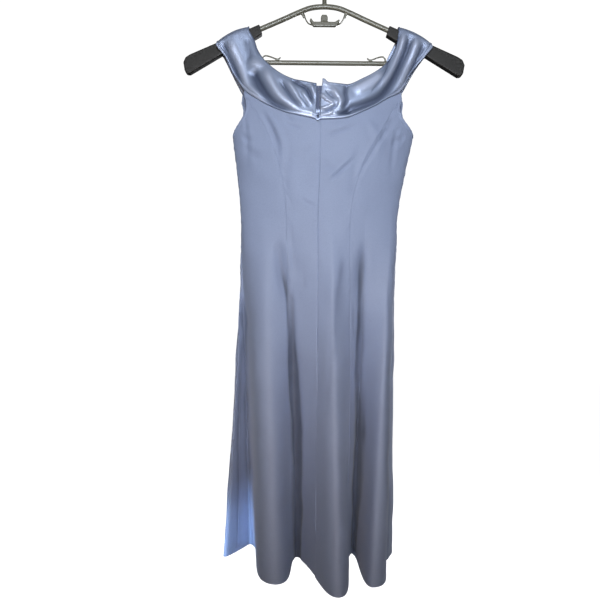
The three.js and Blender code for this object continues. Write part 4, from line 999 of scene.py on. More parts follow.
# How the satin's folds and dents lift a band, and the highlight and shade painted along them
def bandFolds(name, points, along, across):
    if name in collarFolds:
        folds, paintedShading = pathRelief(points[..., 0], points[..., 2], collarFolds[name])
    else:
        folds, paintedShading = np.zeros(along.shape), np.zeros(along.shape)
        for start, end, placeStart, placeEnd, bow, half, height in frontFolds:
            t = (along - start) / (end - start)
            place = lerp(placeStart, placeEnd, np.clip(t, 0, 1)) + bow * np.sin(math.pi * np.clip(t, 0, 1))
            fade = (1 if start == 0 else smoothStep(t / 0.3)) * (1 if end == 1 else smoothStep((1 - t) / 0.3))
            shape = fade * bell(across - place, half * (1 + 0.25 * np.sin(5 * t + 9 * placeStart)))
            folds += height * shape
            # Painted highlight on the raised folds and painted shade in the sunk ones, in step with their height
            paintedShading += 0.45 * height * shape
    for x, z, halfX, halfZ, turn, height in collarDents[name]:
        cosine, sine = math.cos(math.radians(turn)), math.sin(math.radians(turn))
        u, v = points[..., 0] - x, points[..., 2] - z
        shape = np.exp(-((u * cosine + v * sine) / halfX) ** 2 - ((v * cosine - u * sine) / halfZ) ** 2)
        folds += height * shape
        # Painted highlight on the bumps and painted shade in the dents
        paintedShading += 0.6 * height * shape
    return folds, paintedShading


# Shares of a length, closer together towards both ends
def closerAtEnds(step, length, count):
    shares = edgeSteps * step / length
    return np.concatenate([shares[:-1], np.linspace(shares[-1], 1 - shares[-1], count), 1 - shares[:-1][::-1]])


def edgeProfile(rolls, distance):
    return sum(height * bell(distance - place, half) for place, half, height in rolls)


# side is -1 for the back and 1 for the front, and zipSide says which edge of the zip's opening the band ends at
def makeCollar(pieceName, name, side, alongCount, zipSide):
    cloth = collarCloth
    columns = collarLines(name, side)
    last = columns["i"][-1]

    def basePoint(along, across):
        c = readTable(columns, "i", np.clip(along, 0, 1) * last)
        point = np.stack([lerp(c["neck" + axis], c["edge" + axis], across) for axis in "XYZ"], -1)
        point[..., 2] += c["lift"] * np.sin(math.pi * np.clip(across, 0, 1))
        return point

    spread = np.linspace(0, 1, 400)
    length, width = np.linalg.norm(np.diff(basePoint(spread, 0.5 + 0 * spread), axis=0), axis=1).sum(), cloth["width"]
    along, across = np.meshgrid(closerAtEnds(cloth["endStep"], length, alongCount),
                                closerAtEnds(cloth["sideStep"], width, cloth["across"]))
    points = basePoint(along, across)
    near, beside = 0.004, 0.02
    inside = np.clip(along, near, 1 - near)
    out = unit(np.cross(basePoint(inside + near, across) - basePoint(inside - near, across),
                        basePoint(along, across + beside) - basePoint(along, across - beside)))
    out = np.where((out[..., 1:2] * side < 0) & (np.abs(out[..., 1:2]) > 0.02), -out, out)
    ridges = [0] if zipSide else [0, along.shape[1] - 1]
    for column in ridges:
        out[:, column, 1] = 0
        out[:, column] *= np.sign(out[:, column, 2:3])
        out[:, column] = unit(out[:, column])

    fromRidge = along if zipSide else np.minimum(along, 1 - along)
    fromFree, fromNeck = (1 - across) * width, across * width
    shoulder = smoothStep((fromRidge - cloth["shoulderFrom"]) / cloth["shoulderRamp"])
    nearZip = np.minimum(1, cloth["zipShare"] + cloth["zipRamp"] * (1 - along)) if zipSide else 1
    rise = np.sin(math.pi * across) ** cloth["roundness"]
    inner = np.minimum(1, rise * cloth["foldReach"])
    folds, paintedShading = bandFolds(name, points, along, across)
    relief = cloth["puff"] * rise * lerp(cloth["shoulderShare"], 1, shoulder) * nearZip
    relief += folds * inner * shoulder
    uneven = softNoise(along * length * 0.4, across * width, cloth["unevenSize"], cloth["seeds"][name])
    relief += cloth["uneven"] * uneven * inner * lerp(0.2, 1, shoulder)
    relief += edgeProfile(edgeRolls["free"], fromFree)
    relief += edgeProfile(edgeRolls["neck"], fromNeck)
    # Painted highlight along the rolled free edge and painted shade along the neck edge
    paintedShading += edgeProfile(edgeShading["free"], fromFree) + edgeProfile(edgeShading["neck"], fromNeck)
    # Painted shade over the top of the shoulder, near the ridge where the band rolls over the hanger
    paintedShading -= 1 - smoothStep((fromRidge - cloth["ridgeShadeFrom"]) / cloth["ridgeShadeRamp"])
    points = points + out * relief[..., None]
    if name == "backRight":
        x, reach, lift = cloth["corner"]
        points[..., 2] += lift * bell(points[..., 0] - x, reach) * (1 - across) ** 3
    if zipSide:
        lastStep = smoothStep((along - (1 - 1 / cloth["zipEnd"])) * cloth["zipEnd"])
        heights = np.clip(points[..., 2], zipOpening["z"][0], zipOpening["z"][-1])
        points[..., 0] = lerp(points[..., 0], readTable(zipOpening, "z", heights)[zipSide], lastStep)
    normals = gridNormals(points)
    if (normals * out).sum() < 0:
        normals = -normals
    for column in ridges:
        normals[:, column] = out[:, column]

    u, v = arcLengths(points, 1), arcLengths(points, 0)
    half = cloth["half"] * roundedEdge(np.minimum(v, v[-1:] - v), cloth["edgeRadius"])
    half = half * roundedEdge(u, cloth["ridgeRadius"])
    half = half * roundedEdge(u[:, -1:] - u, cloth["edgeRadius" if zipSide else "ridgeRadius"])
    mesh = shellMesh(pieceName, points, normals, half, np.stack([u - u[:, :1], -v], -1), np.clip(paintedShading, -1.2, 1.2))
    mesh.materials.append(materials["satin"])
    return makeObject(pieceName, mesh)


# Sweeps a closed section along a path. xAxis and yAxis are the directions that the section's x and y follow.
def sweep(name, path, xAxis, yAxis, section, taper=None):
    count, sides = len(path), len(section)
    scale = np.ones(count) if taper is None else taper
    offsets = section[None, :, 0, None] * xAxis[:, None, :] + section[None, :, 1, None] * yAxis[:, None, :]
    points = path[:, None, :] + offsets * scale[:, None, None]
    index = np.arange(count * sides).reshape(count, sides)
    following = np.roll(index, -1, 1)
    quads = np.stack([index[:-1], following[:-1], following[1:], index[1:]], -1).reshape(-1, 4)
    faces = [*quads.tolist(), index[0][::-1].tolist(), index[-1].tolist()]
    mesh = bpy.data.meshes.new(name)
    mesh.from_pydata([tuple(p) for p in points.reshape(-1, 3) * millimetre], [], faces)
    bm = bmesh.new()
    bm.from_mesh(mesh)
    bmesh.ops.recalc_face_normals(bm, faces=bm.faces)
    bm.to_mesh(mesh)
    bm.free()
    mesh.polygons.foreach_set("use_smooth", np.ones(len(mesh.polygons), bool))
    return mesh


# Armhole bindings: a folded strip over the edges of the side gores
bindingCloth = {"drop": 1.9, "reach": 2.5, "half": 1.0, "sides": 14, "step": 1.6, "wave": 0.08, "waveTurn": 1.7}


def makeBinding(name, first, last):
    path, facing = wrapColumns(gorePoints, first, last)[0], wrapColumns(goreNormals, first, last)[4]
    below = wrapColumns(gorePoints, first, last)[10]
    kept = [0]
    for i in range(1, len(path)):
        if np.linalg.norm(path[i] - path[kept[-1]]) > bindingCloth["step"]:
            kept.append(i)
    path, facing, below = path[kept], facing[kept], below[kept]
    for _ in range(3):
        facing[1:-1] = (facing[:-2] + 2 * facing[1:-1] + facing[2:]) / 4
    tangent = unit(np.gradient(path, axis=0))
    facing = unit(facing - tangent * (facing * tangent).sum(1, keepdims=True))
    down = np.cross(tangent, facing)
    down *= np.sign((down * (below - path)).sum(1, keepdims=True))
    wave = 1 + bindingCloth["wave"] * np.sin(np.arange(len(path)) * bindingCloth["waveTurn"])
    turns = 2 * math.pi * np.arange(bindingCloth["sides"]) / bindingCloth["sides"]
    section = np.column_stack([
        bindingCloth["reach"] * np.sign(np.cos(turns)) * np.abs(np.cos(turns)) ** 0.75,
        bindingCloth["half"] * np.sign(np.sin(turns)) * np.abs(np.sin(turns)) ** 0.6])
    mesh = sweep(name, path + down * bindingCloth["drop"], down, facing, section, taper=wave)
    mesh.materials.append(materials["crepe"])
    return makeObject(name, mesh)


# Zip: tapes inside the back, coils along their edges, and the stitches beside the seam
zipSizes = {
    "topZ": -213, "footZ": -470, "tapeWidth": 11, "tapeRows": 170, "tapeColumns": 16, "half": 0.45, "depth": 1.65,
    "parting": 0.08, "closedParting": 0.03, "rib": 0.12, "ribPitch": 2.6, "sliderX": -12.1, "sliderZ": -256.5,
    "pitch": 1.45, "coilWide": 1.9, "coilThick": 1.5, "coilWire": 0.5,
}


# A point of the zip and the way that it faces: offset is from the centre line, depth is in from the cloth's middle
def tapePoint(z, offset, depth):
    opening = np.clip((zipSizes["topZ"] - z) / (zipSizes["topZ"] - zipSizes["sliderZ"]), 0, 1)
    parting = lerp(zipSizes["parting"], zipSizes["closedParting"], opening)
    lineX = ovalPoint(seamAngle(0, z), z)[..., 0]
    angle = ovalAngle(lineX + np.sign(offset) * np.maximum(np.abs(offset), parting), z, True)
    return ovalPoint(angle, z) - ovalFacing(angle, z) * depth, ovalFacing(angle, z)


def makeTape(name, direction):
    width, length, half = zipSizes["tapeWidth"], zipSizes["topZ"] - zipSizes["footZ"], zipSizes["half"]
    sides, ends = np.array([0, 0.08, 0.25, 0.5]), np.array([0, 0.1, 0.3, 0.6])
    rows = np.concatenate([ends, np.linspace(1.2, length - 1.2, zipSizes["tapeRows"]), length - ends[::-1]])
    columns = np.concatenate([sides, np.linspace(1, width - 1, zipSizes["tapeColumns"]), width - sides[::-1]])
    z = zipSizes["topZ"] - rows[:, None] + 0 * columns[None]
    points, facing = tapePoint(z, direction * (0.02 + columns[None] + 0 * z), zipSizes["depth"])
    u, v = arcLengths(points, 1), arcLengths(points, 0)
    edge = np.minimum(np.minimum(u, u[:, -1:] - u), np.minimum(v, v[-1:] - v))
    rib = zipSizes["rib"] * np.cos(2 * math.pi * columns[None] / zipSizes["ribPitch"]) * (columns[None] > 2)
    middle = points + facing * rib[..., None]
    mesh = shellMesh(name, middle, facing, half * roundedEdge(edge, half), np.stack([u, -v], -1))
    mesh.materials.append(materials["zipTape"])
    return makeObject(name, mesh)


def pathObject(name, points):
    mesh = bpy.data.meshes.new(name)
    mesh.from_pydata([tuple(p) for p in np.asarray(points) * millimetre], [(i, i + 1) for i in range(len(points) - 1)], [])
    return makeObject(name, mesh)


# Geometry Nodes: a tree that sets one instance at each pitch of every edge path of a mesh
def instanceTree(name, sizes):
    tree = bpy.data.node_groups.new(name, "GeometryNodeTree")
    tree.interface.new_socket("Geometry", in_out="INPUT", socket_type="NodeSocketGeometry")
    for label, size in sizes.items():
        socket = tree.interface.new_socket(label, in_out="INPUT", socket_type="NodeSocketFloat")
        socket.default_value = size * millimetre
    seed = tree.interface.new_socket("Seed", in_out="INPUT", socket_type="NodeSocketInt")
    seed.default_value = 3
    tree.interface.new_socket("Material", in_out="INPUT", socket_type="NodeSocketMaterial")
    tree.interface.new_socket("Geometry", in_out="OUTPUT", socket_type="NodeSocketGeometry")
    start = tree.nodes.new("NodeGroupInput").outputs
    toCurve = addNode(tree, "GeometryNodeMeshToCurve", {}, {"Mesh": start["Geometry"]})
    spots = addNode(tree, "GeometryNodeCurveToPoints", {}, {"Curve": toCurve.outputs["Curve"]})
    spots.mode = "LENGTH"
    tree.links.new(start["Pitch"], spots.inputs["Length"])
    place = addNode(tree, "GeometryNodeInstanceOnPoints", {}, {"Points": spots.outputs["Points"]})
    realize = addNode(tree, "GeometryNodeRealizeInstances", {}, {"Geometry": place.outputs["Instances"]})
    smooth = addNode(tree, "GeometryNodeSetShadeSmooth", {}, {"Geometry": realize.outputs["Geometry"]})
    paint = addNode(tree, "GeometryNodeSetMaterial", {},
                    {"Geometry": smooth.outputs["Geometry"], "Material": start["Material"]})
    addNode(tree, "NodeGroupOutput", {}, {"Geometry": paint.outputs["Geometry"]})
    return tree, start, spots, place.inputs


stitchSizes = {
    "length": 2.5, "pitch": 3.3, "thread": 0.42, "shortest": 0.86, "longest": 1.1, "offset": 5.2, "from": -271,
    "to": -476, "lift": -0.05,
}


# Each stitch is a long bead of thread
def stitchTree():
    tree, start, spots, place = instanceTree("stitches", {
        "Pitch": stitchSizes["pitch"], "Stitch Length": stitchSizes["length"], "Thread": stitchSizes["thread"]})
    thread = addNode(tree, "GeometryNodeMeshUVSphere", {"Segments": 8, "Rings": 6, "Radius": 0.5}, {})
    vary = addNode(tree, "FunctionNodeRandomValue", {2: stitchSizes["shortest"], 3: stitchSizes["longest"]},
                   {"Seed": start["Seed"]})
    longer = addMath(tree, "MULTIPLY", start["Stitch Length"], vary.outputs[1])
    size = addNode(tree, "ShaderNodeCombineXYZ", {}, {"X": start["Thread"], "Y": start["Thread"], "Z": longer})
    tree.links.new(spots.outputs["Rotation"], place["Rotation"])
    tree.links.new(thread.outputs["Mesh"], place["Instance"])
    tree.links.new(size.outputs["Vector"], place["Scale"])
    return tree


# Each loop of the coil is a flattened ring of wire
def coilTree():
    tree, start, spots, place = instanceTree("zipCoil", {
        "Pitch": zipSizes["pitch"], "Width": zipSizes["coilWide"], "Thickness": zipSizes["coilThick"],
        "Wire": zipSizes["coilWire"]})
    ring = addNode(tree, "GeometryNodeCurvePrimitiveCircle", {"Resolution": 14, "Radius": 0.5}, {})
    shape = addNode(tree, "ShaderNodeCombineXYZ", {"Z": 1}, {"X": start["Width"], "Y": start["Thickness"]})
    stretch = addNode(tree, "GeometryNodeTransform", {},
                      {"Geometry": ring.outputs["Curve"], "Scale": shape.outputs["Vector"]})
    wire = addNode(tree, "GeometryNodeCurvePrimitiveCircle", {"Resolution": 6},
                   {"Radius": addMath(tree, "MULTIPLY", start["Wire"], 0.5)})
    loop = addNode(tree, "GeometryNodeCurveToMesh", {},
                   {"Curve": stretch.outputs["Geometry"], "Profile Curve": wire.outputs["Curve"]})
    tree.links.new(loop.outputs["Mesh"], place["Instance"])
    return tree


# Applies a node tree to an object and leaves a plain mesh in its place
def applyTree(obj, tree, values):
    modifier = obj.modifiers.new(tree.name, "NODES")
    modifier.node_group = tree
    for item in tree.interface.items_tree:
        if item.item_type == "SOCKET" and item.in_out == "INPUT" and item.name in values:
            modifier[item.identifier] = values[item.name]
    bpy.context.view_layer.update()
    mesh = bpy.data.meshes.new_from_object(obj.evaluated_get(bpy.context.evaluated_depsgraph_get()))
    name = obj.name
    old = obj.data
    bpy.data.objects.remove(obj)
    if old.users == 0:
        bpy.data.meshes.remove(old)
    mesh.name = name
    return makeObject(name, mesh)


# Points on the outside of the gores beside a seam: offset is along the cloth, lift is out of it
def besideSeam(seamIndex, offset, zFrom, zTo, lift):
    start = goreStarts[seamIndex]
    result = []
    for around, points, normals in zip(goreAround, gorePoints, goreNormals):
        target = (around[start] + offset) % around[-1]
        point, normal = (np.array([np.interp(target, around, np.append(row[:, k], row[0, k])) for k in range(3)])
                         for row in (points, normals))
        if zTo <= point[2] <= zFrom:
            result.append(point + normal * (goreCloth["half"] + lift))
    return np.array(result)


# Rods of the hanger along smooth paths in its plane
def rodMesh(name, points, thickness, depth, steps=8, sides=20):
    flat = smoothPath(points, steps)
    path = np.column_stack([flat[:, 0], 0 * flat[:, 0], flat[:, 1]])
    tangent = unit(np.gradient(path, axis=0))
    yAxis = np.tile([0.0, 1.0, 0.0], (len(path), 1))
    xAxis = np.cross(yAxis, tangent)
    turns = 2 * math.pi * np.arange(sides) / sides
    section = np.column_stack([thickness / 2 * np.cos(turns), depth / 2 * np.sin(turns)])
    return sweep(name, path, xAxis, yAxis, section)


def plateMesh(name, outline, thickness):
    bm = bmesh.new()
    face = bm.faces.new([bm.verts.new((x * millimetre, -thickness / 2 * millimetre, z * millimetre)) for x, z in outline])
    grown = bmesh.ops.extrude_face_region(bm, geom=[face])
    lifted = [v for v in grown["geom"] if isinstance(v, bmesh.types.BMVert)]
    bmesh.ops.translate(bm, verts=lifted, vec=(0, thickness * millimetre, 0))
    bmesh.ops.recalc_face_normals(bm, faces=bm.faces)
    mesh = bpy.data.meshes.new(name)
    bm.to_mesh(mesh)
    bm.free()
    return mesh


# Joins closed meshes into one moulded shape with soft corners, and tilts it as the hanger hangs
def moulded(name, meshes, voxel, rounds, material, tilt):
    bm = bmesh.new()
    for mesh in meshes:
        bm.from_mesh(mesh)
    joined = bpy.data.meshes.new(name)
    bm.to_mesh(joined)
    bm.free()
    obj = makeObject(name, joined)
    remesh = obj.modifiers.new("remesh", "REMESH")
    remesh.mode = "VOXEL"
    remesh.voxel_size = voxel * millimetre
    remesh.use_smooth_shade = True
    soften = obj.modifiers.new("soften", "SMOOTH")
    soften.factor = 0.5
    soften.iterations = rounds
    mesh = bpy.data.meshes.new_from_object(obj.evaluated_get(bpy.context.evaluated_depsgraph_get()))
    bpy.data.objects.remove(obj)
    points = np.zeros(len(mesh.vertices) * 3, np.float32)
    mesh.vertices.foreach_get("co", points)
    points = points.reshape(-1, 3)
    turn = math.radians(tilt)
    x = points[:, 0] * math.cos(turn) + points[:, 2] * math.sin(turn)
    z = points[:, 2] * math.cos(turn) - points[:, 0] * math.sin(turn)
    mesh.vertices.foreach_set("co", np.column_stack([x, points[:, 1], z]).astype(np.float32).ravel())
    mesh.polygons.foreach_set("use_smooth", np.ones(len(mesh.polygons), bool))
    mesh.materials.clear()
    mesh.materials.append(material)
    mesh.name = name
    mesh.update()
    return makeObject(name, mesh)


def mirrored(points):
    return [(-x, z) for x, z in points]


hangerSizes = {
    "tilt": 0.6, "armThickness": 8.5, "rodThickness": 7, "hookRadius": 20, "legThickness": 2.3, "legDepth": 3,
    "finThickness": 3, "boatThickness": 5, "knobThickness": 3.6, "barZ": -169, "barReach": 130, "barThickness": 7.6,
    "strutTop": -145.6, "strapHookThickness": 2.6, "voxel": 0.64, "rounds": 7,
    "gripThickness": 12, "gripVoxel": 0.95, "gripRounds": 12,
}
# Paths and outlines of its right half, or of a middle piece, in its own plane before it tilts
hangerShapes = {
    "armTop": [(105.5, -118.3), (100.1, -115.9), (66, -100.9), (40, -89), (21, -81.9), (0, -79.8)],
    "leg": [(33, -90), (29.5, -100), (25, -106.5), (18, -109)],
    "fin": [(41, -87), (32, -83.5), (31.6, -96.5), (33.4, -99.5), (34.8, -95)],
    "boat": [(-17.5, -111.6), (18.5, -111.6), (24.5, -103), (23.4, -99.6), (17, -103.9), (-17, -103.9), (-21.4, -98),
             (-23.4, -102)],
    "knob": [(-5.6, -106), (5.4, -106), (5.4, -96), (3.4, -92.6), (-3.6, -92.6), (-5.6, -96)],
    "strapHook": [(97, -168), (96.6, -161.5), (92.8, -158.2), (86, -159.4), (76, -163), (71.5, -163.2), (68.4, -160.6)],
    "grip": [(102.6, -110.6), (169.4, -140.3), (211, -158.7), (218.4, -163.6), (221.8, -171.5), (219.6, -184.6),
             (216.6, -189),
             (211, -189.2), (160, -158.2), (110, -133.2), (97.6, -125.6)],
}


def hookPoints():
    radius = hangerSizes["hookRadius"] + hangerSizes["rodThickness"] / 2
    stem = [(0, hangerShapes["armTop"][-1][1] + 1), (0, -66), (2.5, -56), (10.5, -46)]
    arc = [(radius * math.cos(math.radians(d)), radius * math.sin(math.radians(d)) - hangerSizes["hookRadius"])
           for d in np.arange(-36, 212.1, 15.5)]
    return stem + arc


def makeHanger():
    sizes, shapes = hangerSizes, hangerShapes
    arms = shapes["armTop"] + mirrored(shapes["armTop"][:-1])[::-1]
    frameMeshes = [
        rodMesh("arms", arms, sizes["armThickness"], sizes["armThickness"] * 0.8),
        rodMesh("hookRod", hookPoints(), sizes["rodThickness"], sizes["rodThickness"]),
        plateMesh("boat", shapes["boat"], sizes["boatThickness"]),
        plateMesh("knob", shapes["knob"], sizes["knobThickness"]),
    ]
    barZ, reach = sizes["barZ"], sizes["barReach"]
    bar = [(reach, sizes["strutTop"]), (reach - 0.5, -160), (reach - 7, -167.4), (reach - 18, barZ), (reach - 50, barZ),
           (0, barZ)]
    barMeshes = [rodMesh("barRod", bar + mirrored(bar[:-1])[::-1], sizes["barThickness"], sizes["barThickness"] * 0.85)]
    gripMeshes = {}
    for side, turned in (("Right", list), ("Left", mirrored)):
        fin, grip = (turned(shapes[key]) for key in ("fin", "grip"))
        if side == "Left":
            fin, grip = fin[::-1], grip[::-1]
        frameMeshes.append(rodMesh("leg" + side, turned(shapes["leg"]), sizes["legThickness"], sizes["legDepth"]))
        frameMeshes.append(plateMesh("fin" + side, fin, sizes["finThickness"]))
        thick = sizes["strapHookThickness"]
        barMeshes.append(rodMesh("strapHook" + side, turned(shapes["strapHook"]), thick, thick))
        gripMeshes[side] = plateMesh("grip" + side, grip, sizes["gripThickness"])
    plastic, rubber, tilt = materials["smokyPlastic"], materials["blackGrip"], sizes["tilt"]
    body = moulded("hangerFrame", frameMeshes, sizes["voxel"], sizes["rounds"], plastic, tilt)
    lower = moulded("hangerBar", barMeshes, sizes["voxel"], sizes["rounds"], plastic, tilt)
    grips = [moulded("hangerGrip" + side, [mesh], sizes["gripVoxel"], sizes["gripRounds"], rubber, tilt)
             for side, mesh in gripMeshes.items()]
    return body, lower, grips


# The zip's slider with its bridge, and the pull on its own hinge
sliderSizes = {
    "width": 6, "length": 8.4, "corner": 1.4, "reach": 3.1, "rise": 2.8, "bridgeWidth": 1.7, "wall": 0.8, "foot": 0.6,
    "overTape": 1.2, "overSatin": 3.1, "sink": 0.3, "collarFootZ": -266, "voxel": 0.18, "rounds": 2,
    "pullLength": 13, "pullWall": 1.0, "pullRounding": 0.25, "pivotDrop": 1.2, "rim": 0.95, "hole": 1.25,
}


# A flat plate in the X-Z plane with holes, rounded at its edges
def curvePlate(name, outlines, thickness, rounding):
    curve = bpy.data.curves.new(name, "CURVE")
    curve.dimensions = "2D"
    curve.fill_mode = "BOTH"
    curve.extrude = (thickness / 2 - rounding) * millimetre
    curve.bevel_depth = rounding * millimetre
    curve.bevel_resolution = 3
    curve.offset = -rounding * millimetre
    for outline in outlines:
        spline = curve.splines.new("POLY")
        spline.points.add(len(outline) - 1)
        for point, (x, z) in zip(spline.points, outline):
            point.co = (x * millimetre, z * millimetre, 0, 1)
        spline.use_cyclic_u = True
    obj = makeObject(name, curve)
    mesh = bpy.data.meshes.new_from_object(obj.evaluated_get(bpy.context.evaluated_depsgraph_get()))
    bpy.data.objects.remove(obj)
    bm = bmesh.new()
    bm.from_mesh(mesh)
    for v in bm.verts:
        v.co = (v.co.x, -v.co.z, v.co.y)
    bmesh.ops.remove_doubles(bm, verts=bm.verts, dist=1e-7)
    bmesh.ops.recalc_face_normals(bm, faces=bm.faces)
    bm.to_mesh(mesh)
    bm.free()
    return mesh


def roundCorners(points, rounds=2):
    points = np.asarray(points, float)
    for _ in range(rounds):
        after = np.roll(points, -1, 0)
        points = np.stack([0.78 * points + 0.22 * after, 0.22 * points + 0.78 * after], 1).reshape(-1, 2)
    return [tuple(p) for p in points]


def shifted(mesh, x, y, z):
    for v in mesh.vertices:
        v.co.x += x * millimetre
        v.co.y += y * millimetre
        v.co.z += z * millimetre
    return mesh


def makeSlider():
    s, x, z, foot = sliderSizes, zipSizes["sliderX"], zipSizes["sliderZ"], sliderSizes["collarFootZ"]
    seatY = ovalPoint(seamAngle(0, z), z)[1] + s["overTape"] - s["sink"]
    faceY = ovalPoint(seamAngle(0, foot), foot)[1] - s["overSatin"] - s["sink"]
    half, reach, corner = s["width"] / 2, s["length"] / 2, s["corner"]
    rightSide = [(half - corner / 2, -reach), (half, 0), (half, reach - corner), (half - corner, reach)]
    leftSide = [(corner - half, reach), (-half, reach - corner), (-half, 0)]
    body = plateMesh("sliderBody", [(corner / 2 - half, -reach), *rightSide, *leftSide], seatY - faceY)
    shifted(body, x, (seatY + faceY) / 2, z)
    end, top = s["reach"] - s["wall"] / 2, s["rise"] - s["wall"] / 2
    rightHalf = [(s["reach"] - 1.3, top), (end, s["rise"] - 1.1), (end, -s["foot"])]
    flat = smoothPath(mirrored(rightHalf)[::-1] + rightHalf, 6)
    line = np.column_stack([0 * flat[:, 0] + x, faceY - flat[:, 1], z + flat[:, 0]])
    tangent = unit(np.gradient(line, axis=0))
    wide = np.tile([1.0, 0.0, 0.0], (len(line), 1))
    section = np.array([(-0.5, -0.5), (0.5, -0.5), (0.5, 0.5), (-0.5, 0.5)]) * (s["bridgeWidth"], s["wall"])
    bridge = sweep("sliderBridge", line, wide, np.cross(tangent, wide), section)
    slider = moulded("zipSlider", [body, bridge], s["voxel"], s["rounds"], materials["zipMetal"], 0)
    bar, hole, rim, tip = s["pullWall"] / 2, s["hole"], s["rim"], s["pullWall"] / 2 - s["pullLength"]
    outline = [(-hole - rim, bar), (hole + rim, bar), (3, -7.6), (2.7, -10.4), (1.4, tip),
               (-1.4, tip), (-2.7, -10.4), (-3, -7.6)]
    opening = [(-hole, -bar), (-1.9, -7.6), (-1.2, -9.8), (1.2, -9.8), (1.9, -7.6), (hole, -bar)]
    pull = curvePlate("zipPull", [roundCorners(outline), roundCorners(opening, 1)], s["pullWall"], s["pullRounding"])
    shifted(pull, x, faceY - (s["rise"] - s["wall"]) / 2, z - s["pivotDrop"])
    pull.polygons.foreach_set("use_smooth", np.zeros(len(pull.polygons), bool))
    pull.materials.append(materials["zipMetal"])
    pull.name = "zipPull"
    return slider, makeObject("zipPull", pull)


# Making every piece

def keep(obj, body, slot, *nodes):
    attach(obj, body)
    if nodes:
        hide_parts(*nodes)
    return obj


gores = {panels[index]["name"]: makeGore(index) for index in range(len(panels))}
print("gores made:", {name: len(obj.data.polygons) for name, obj in gores.items()})
collars = {
    "collar_back_left": makeCollar("collarBackLeft", "backLeft", -1, collarCloth["along"], "left"),
    "collar_back_right": makeCollar("collarBackRight", "backRight", -1, collarCloth["along"], "right"),
    "collar_front": makeCollar("collarFront", "front", 1, collarCloth["alongFront"], None),
}
print("collar made")
bindings = {
    "right": makeBinding("armholeBindingRight", goreStarts[1], goreStarts[3]),
    "left": makeBinding("armholeBindingLeft", goreStarts[4], goreStarts[6]),
}
tapes = {"zip_tape_left": makeTape("zipTapeLeft", -1), "zip_tape_right": makeTape("zipTapeRight", 1)}

sides = {"Left": -1, "Right": 1}
coil, coilRows = coilTree(), {}
for side, direction in sides.items():
    heights = np.arange(zipSizes["topZ"] - 1.5, zipSizes["footZ"] + 2, -1.0)
    line, _ = tapePoint(heights, direction * (zipSizes["coilWide"] / 2 + 0.05) + 0 * heights, zipSizes["depth"])
    coilRows[side] = applyTree(pathObject("zipCoil" + side, line), coil, {"Material": materials["zipCoil"]})

stitch, stitches = stitchTree(), {}
for side, direction in sides.items():
    line = besideSeam(0, direction * stitchSizes["offset"], stitchSizes["from"], stitchSizes["to"], stitchSizes["lift"])
    stitches[side] = applyTree(pathObject("zipStitches" + side, line), stitch, {"Material": materials["thread"]})
print("zip and stitches made")
slider, pull = makeSlider()
hangerFrame, hangerBar, hangerGrips = makeHanger()
print("hanger made")

keep(slider, "dress", "zip_metal", "zip_slider")
keep(pull, "pull", "zip_metal", "zip_pull")
keep(hangerFrame, "dress", "smoky_plastic", "hanger_frame")
keep(hangerBar, "dress", "smoky_plastic", "hanger_bar")
keep(hangerGrips[0], "dress", "black_grip", "hanger_grip_right")
keep(hangerGrips[1], "dress", "black_grip", "hanger_grip_left")
for obj in bindings.values():
    keep(obj, "dress", "crepe")
for obj in coilRows.values():
    keep(obj, "dress", "zip_tape")
for obj in stitches.values():
    keep(obj, "dress", "crepe")
for panel in panels:
    name = panel["name"]
    keep(gores[name], "dress", "crepe", name)

# What each band and tape hangs on
for node, obj in collars.items():
    keep(obj, "dress", "satin", node)
for node, obj in tapes.items():
    side = node.removeprefix("zip_tape_")
    keep(obj, "dress", "zip_tape", node)


# Stage: a pale floor and a plain white surround, which neither light nor shade the dress
studio = {
    "floorZ": -1.35, "radius": 6, "ambient": (0.93, 0.95, 1.0), "ambientStrength": 0.09, "floorGlow": 0.97,
    "floorColour": (0.5, 0.5, 0.5, 1), "surroundGlow": 1.05, "surroundColour": (0, 0, 0, 1),
}


def addStage():
    for name in ("floor", "surround"):
        bm = bmesh.new()
        if name == "floor":
            bmesh.ops.create_circle(bm, cap_ends=True, segments=96, radius=studio["radius"] * 0.98)
            bmesh.ops.translate(bm, verts=bm.verts, vec=(0, 0, studio["floorZ"]))
        else:
            bmesh.ops.create_icosphere(bm, subdivisions=5, radius=studio["radius"])
            bmesh.ops.reverse_faces(bm, faces=bm.faces)
        mesh = bpy.data.meshes.new(name)
        bm.to_mesh(mesh)
        bm.free()
        mesh.materials.append(newMaterial(
            name, Base_Color=studio[name + "Colour"], Roughness=0.9, Emission_Color=(1, 1, 1, 1),
            Emission_Strength=studio[name + "Glow"])[0])
        obj = makeObject(name, mesh)
        obj.visible_diffuse = obj.visible_glossy = obj.visible_shadow = False


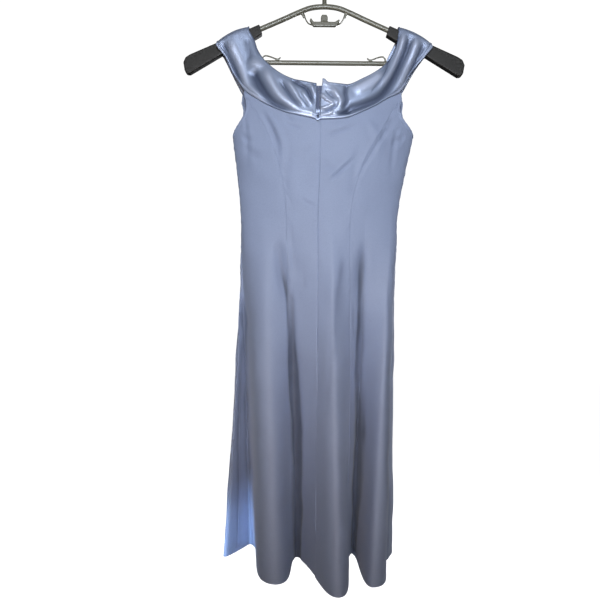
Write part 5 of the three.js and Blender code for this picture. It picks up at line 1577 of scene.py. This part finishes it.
# A spot has a cone, in degrees, and an area light has none. tall stretches a spot's beam upright.
lights = {
    "key": {"place": (0, -1.5, -0.05), "target": (0.01, 0, -0.35), "size": 0.6, "power": 72,
            "colour": (0.87, 0.94, 1), "cone": 42, "blend": 0.75, "tall": 1},
    "middle": {"place": (-0.1, -1.5, -0.6), "target": (0, 0, -0.71), "size": 0.4, "power": 15,
               "colour": (1, 0.7, 0.45), "cone": 23, "blend": 1, "tall": 1},
    "sheen": {"place": (0.05, -1.5, 0.7), "target": (0, 0, -0.2), "size": 0.9, "power": 1.8, "colour": (0.93, 0.96, 1)},
    "fill": {"place": (-0.3, -1.6, -0.65), "target": (0, 0, -0.6), "size": 0.7, "power": 3.7, "colour": (1, 0.76, 0.53)},
    "behind": {"place": (0.7, 1.7, 0.15), "target": (0, 0, -0.4), "size": 1.1, "power": 34, "colour": (0.95, 0.97, 1)},
    "window": {"place": (-0.62, -1.1, -1.1), "target": (-0.155, 0, -0.96), "size": 0.05, "power": 92,
               "colour": (0.5, 0.72, 1), "cone": 5.5, "blend": 1, "tall": 2},
}


def addLight(name, look):
    isSpot = "cone" in look
    data = bpy.data.lights.new(name, "SPOT" if isSpot else "AREA")
    data.energy = look["power"]
    data.color = look["colour"]
    if isSpot:
        data.shadow_soft_size = look["size"] / 2
        data.spot_size = math.radians(look["cone"])
        data.spot_blend = look["blend"]
    else:
        data.shape = "DISK"
        data.size = look["size"]
    light = bpy.data.objects.new(name, data)
    light.location = look["place"]
    x, y, z = np.array(look["target"], float) - np.array(look["place"], float)
    light.rotation_euler = (math.atan2(math.hypot(x, y), -z), 0, math.atan2(y, x) - math.pi / 2)
    light.scale = (1, look.get("tall", 1), 1)
    bpy.context.scene.collection.objects.link(light)


def addWorld():
    world = bpy.data.worlds.new("studio")
    world.use_nodes = True
    background = world.node_tree.nodes["Background"].inputs
    background["Color"].default_value = (*studio["ambient"], 1)
    background["Strength"].default_value = studio["ambientStrength"]
    bpy.context.scene.world = world
    bpy.context.scene.view_settings.view_transform = "Standard"
    bpy.context.scene.view_settings.look = "None"


addStage()
addWorld()
for name, look in lights.items():
    addLight(name, look)
print("stage and lights ready")
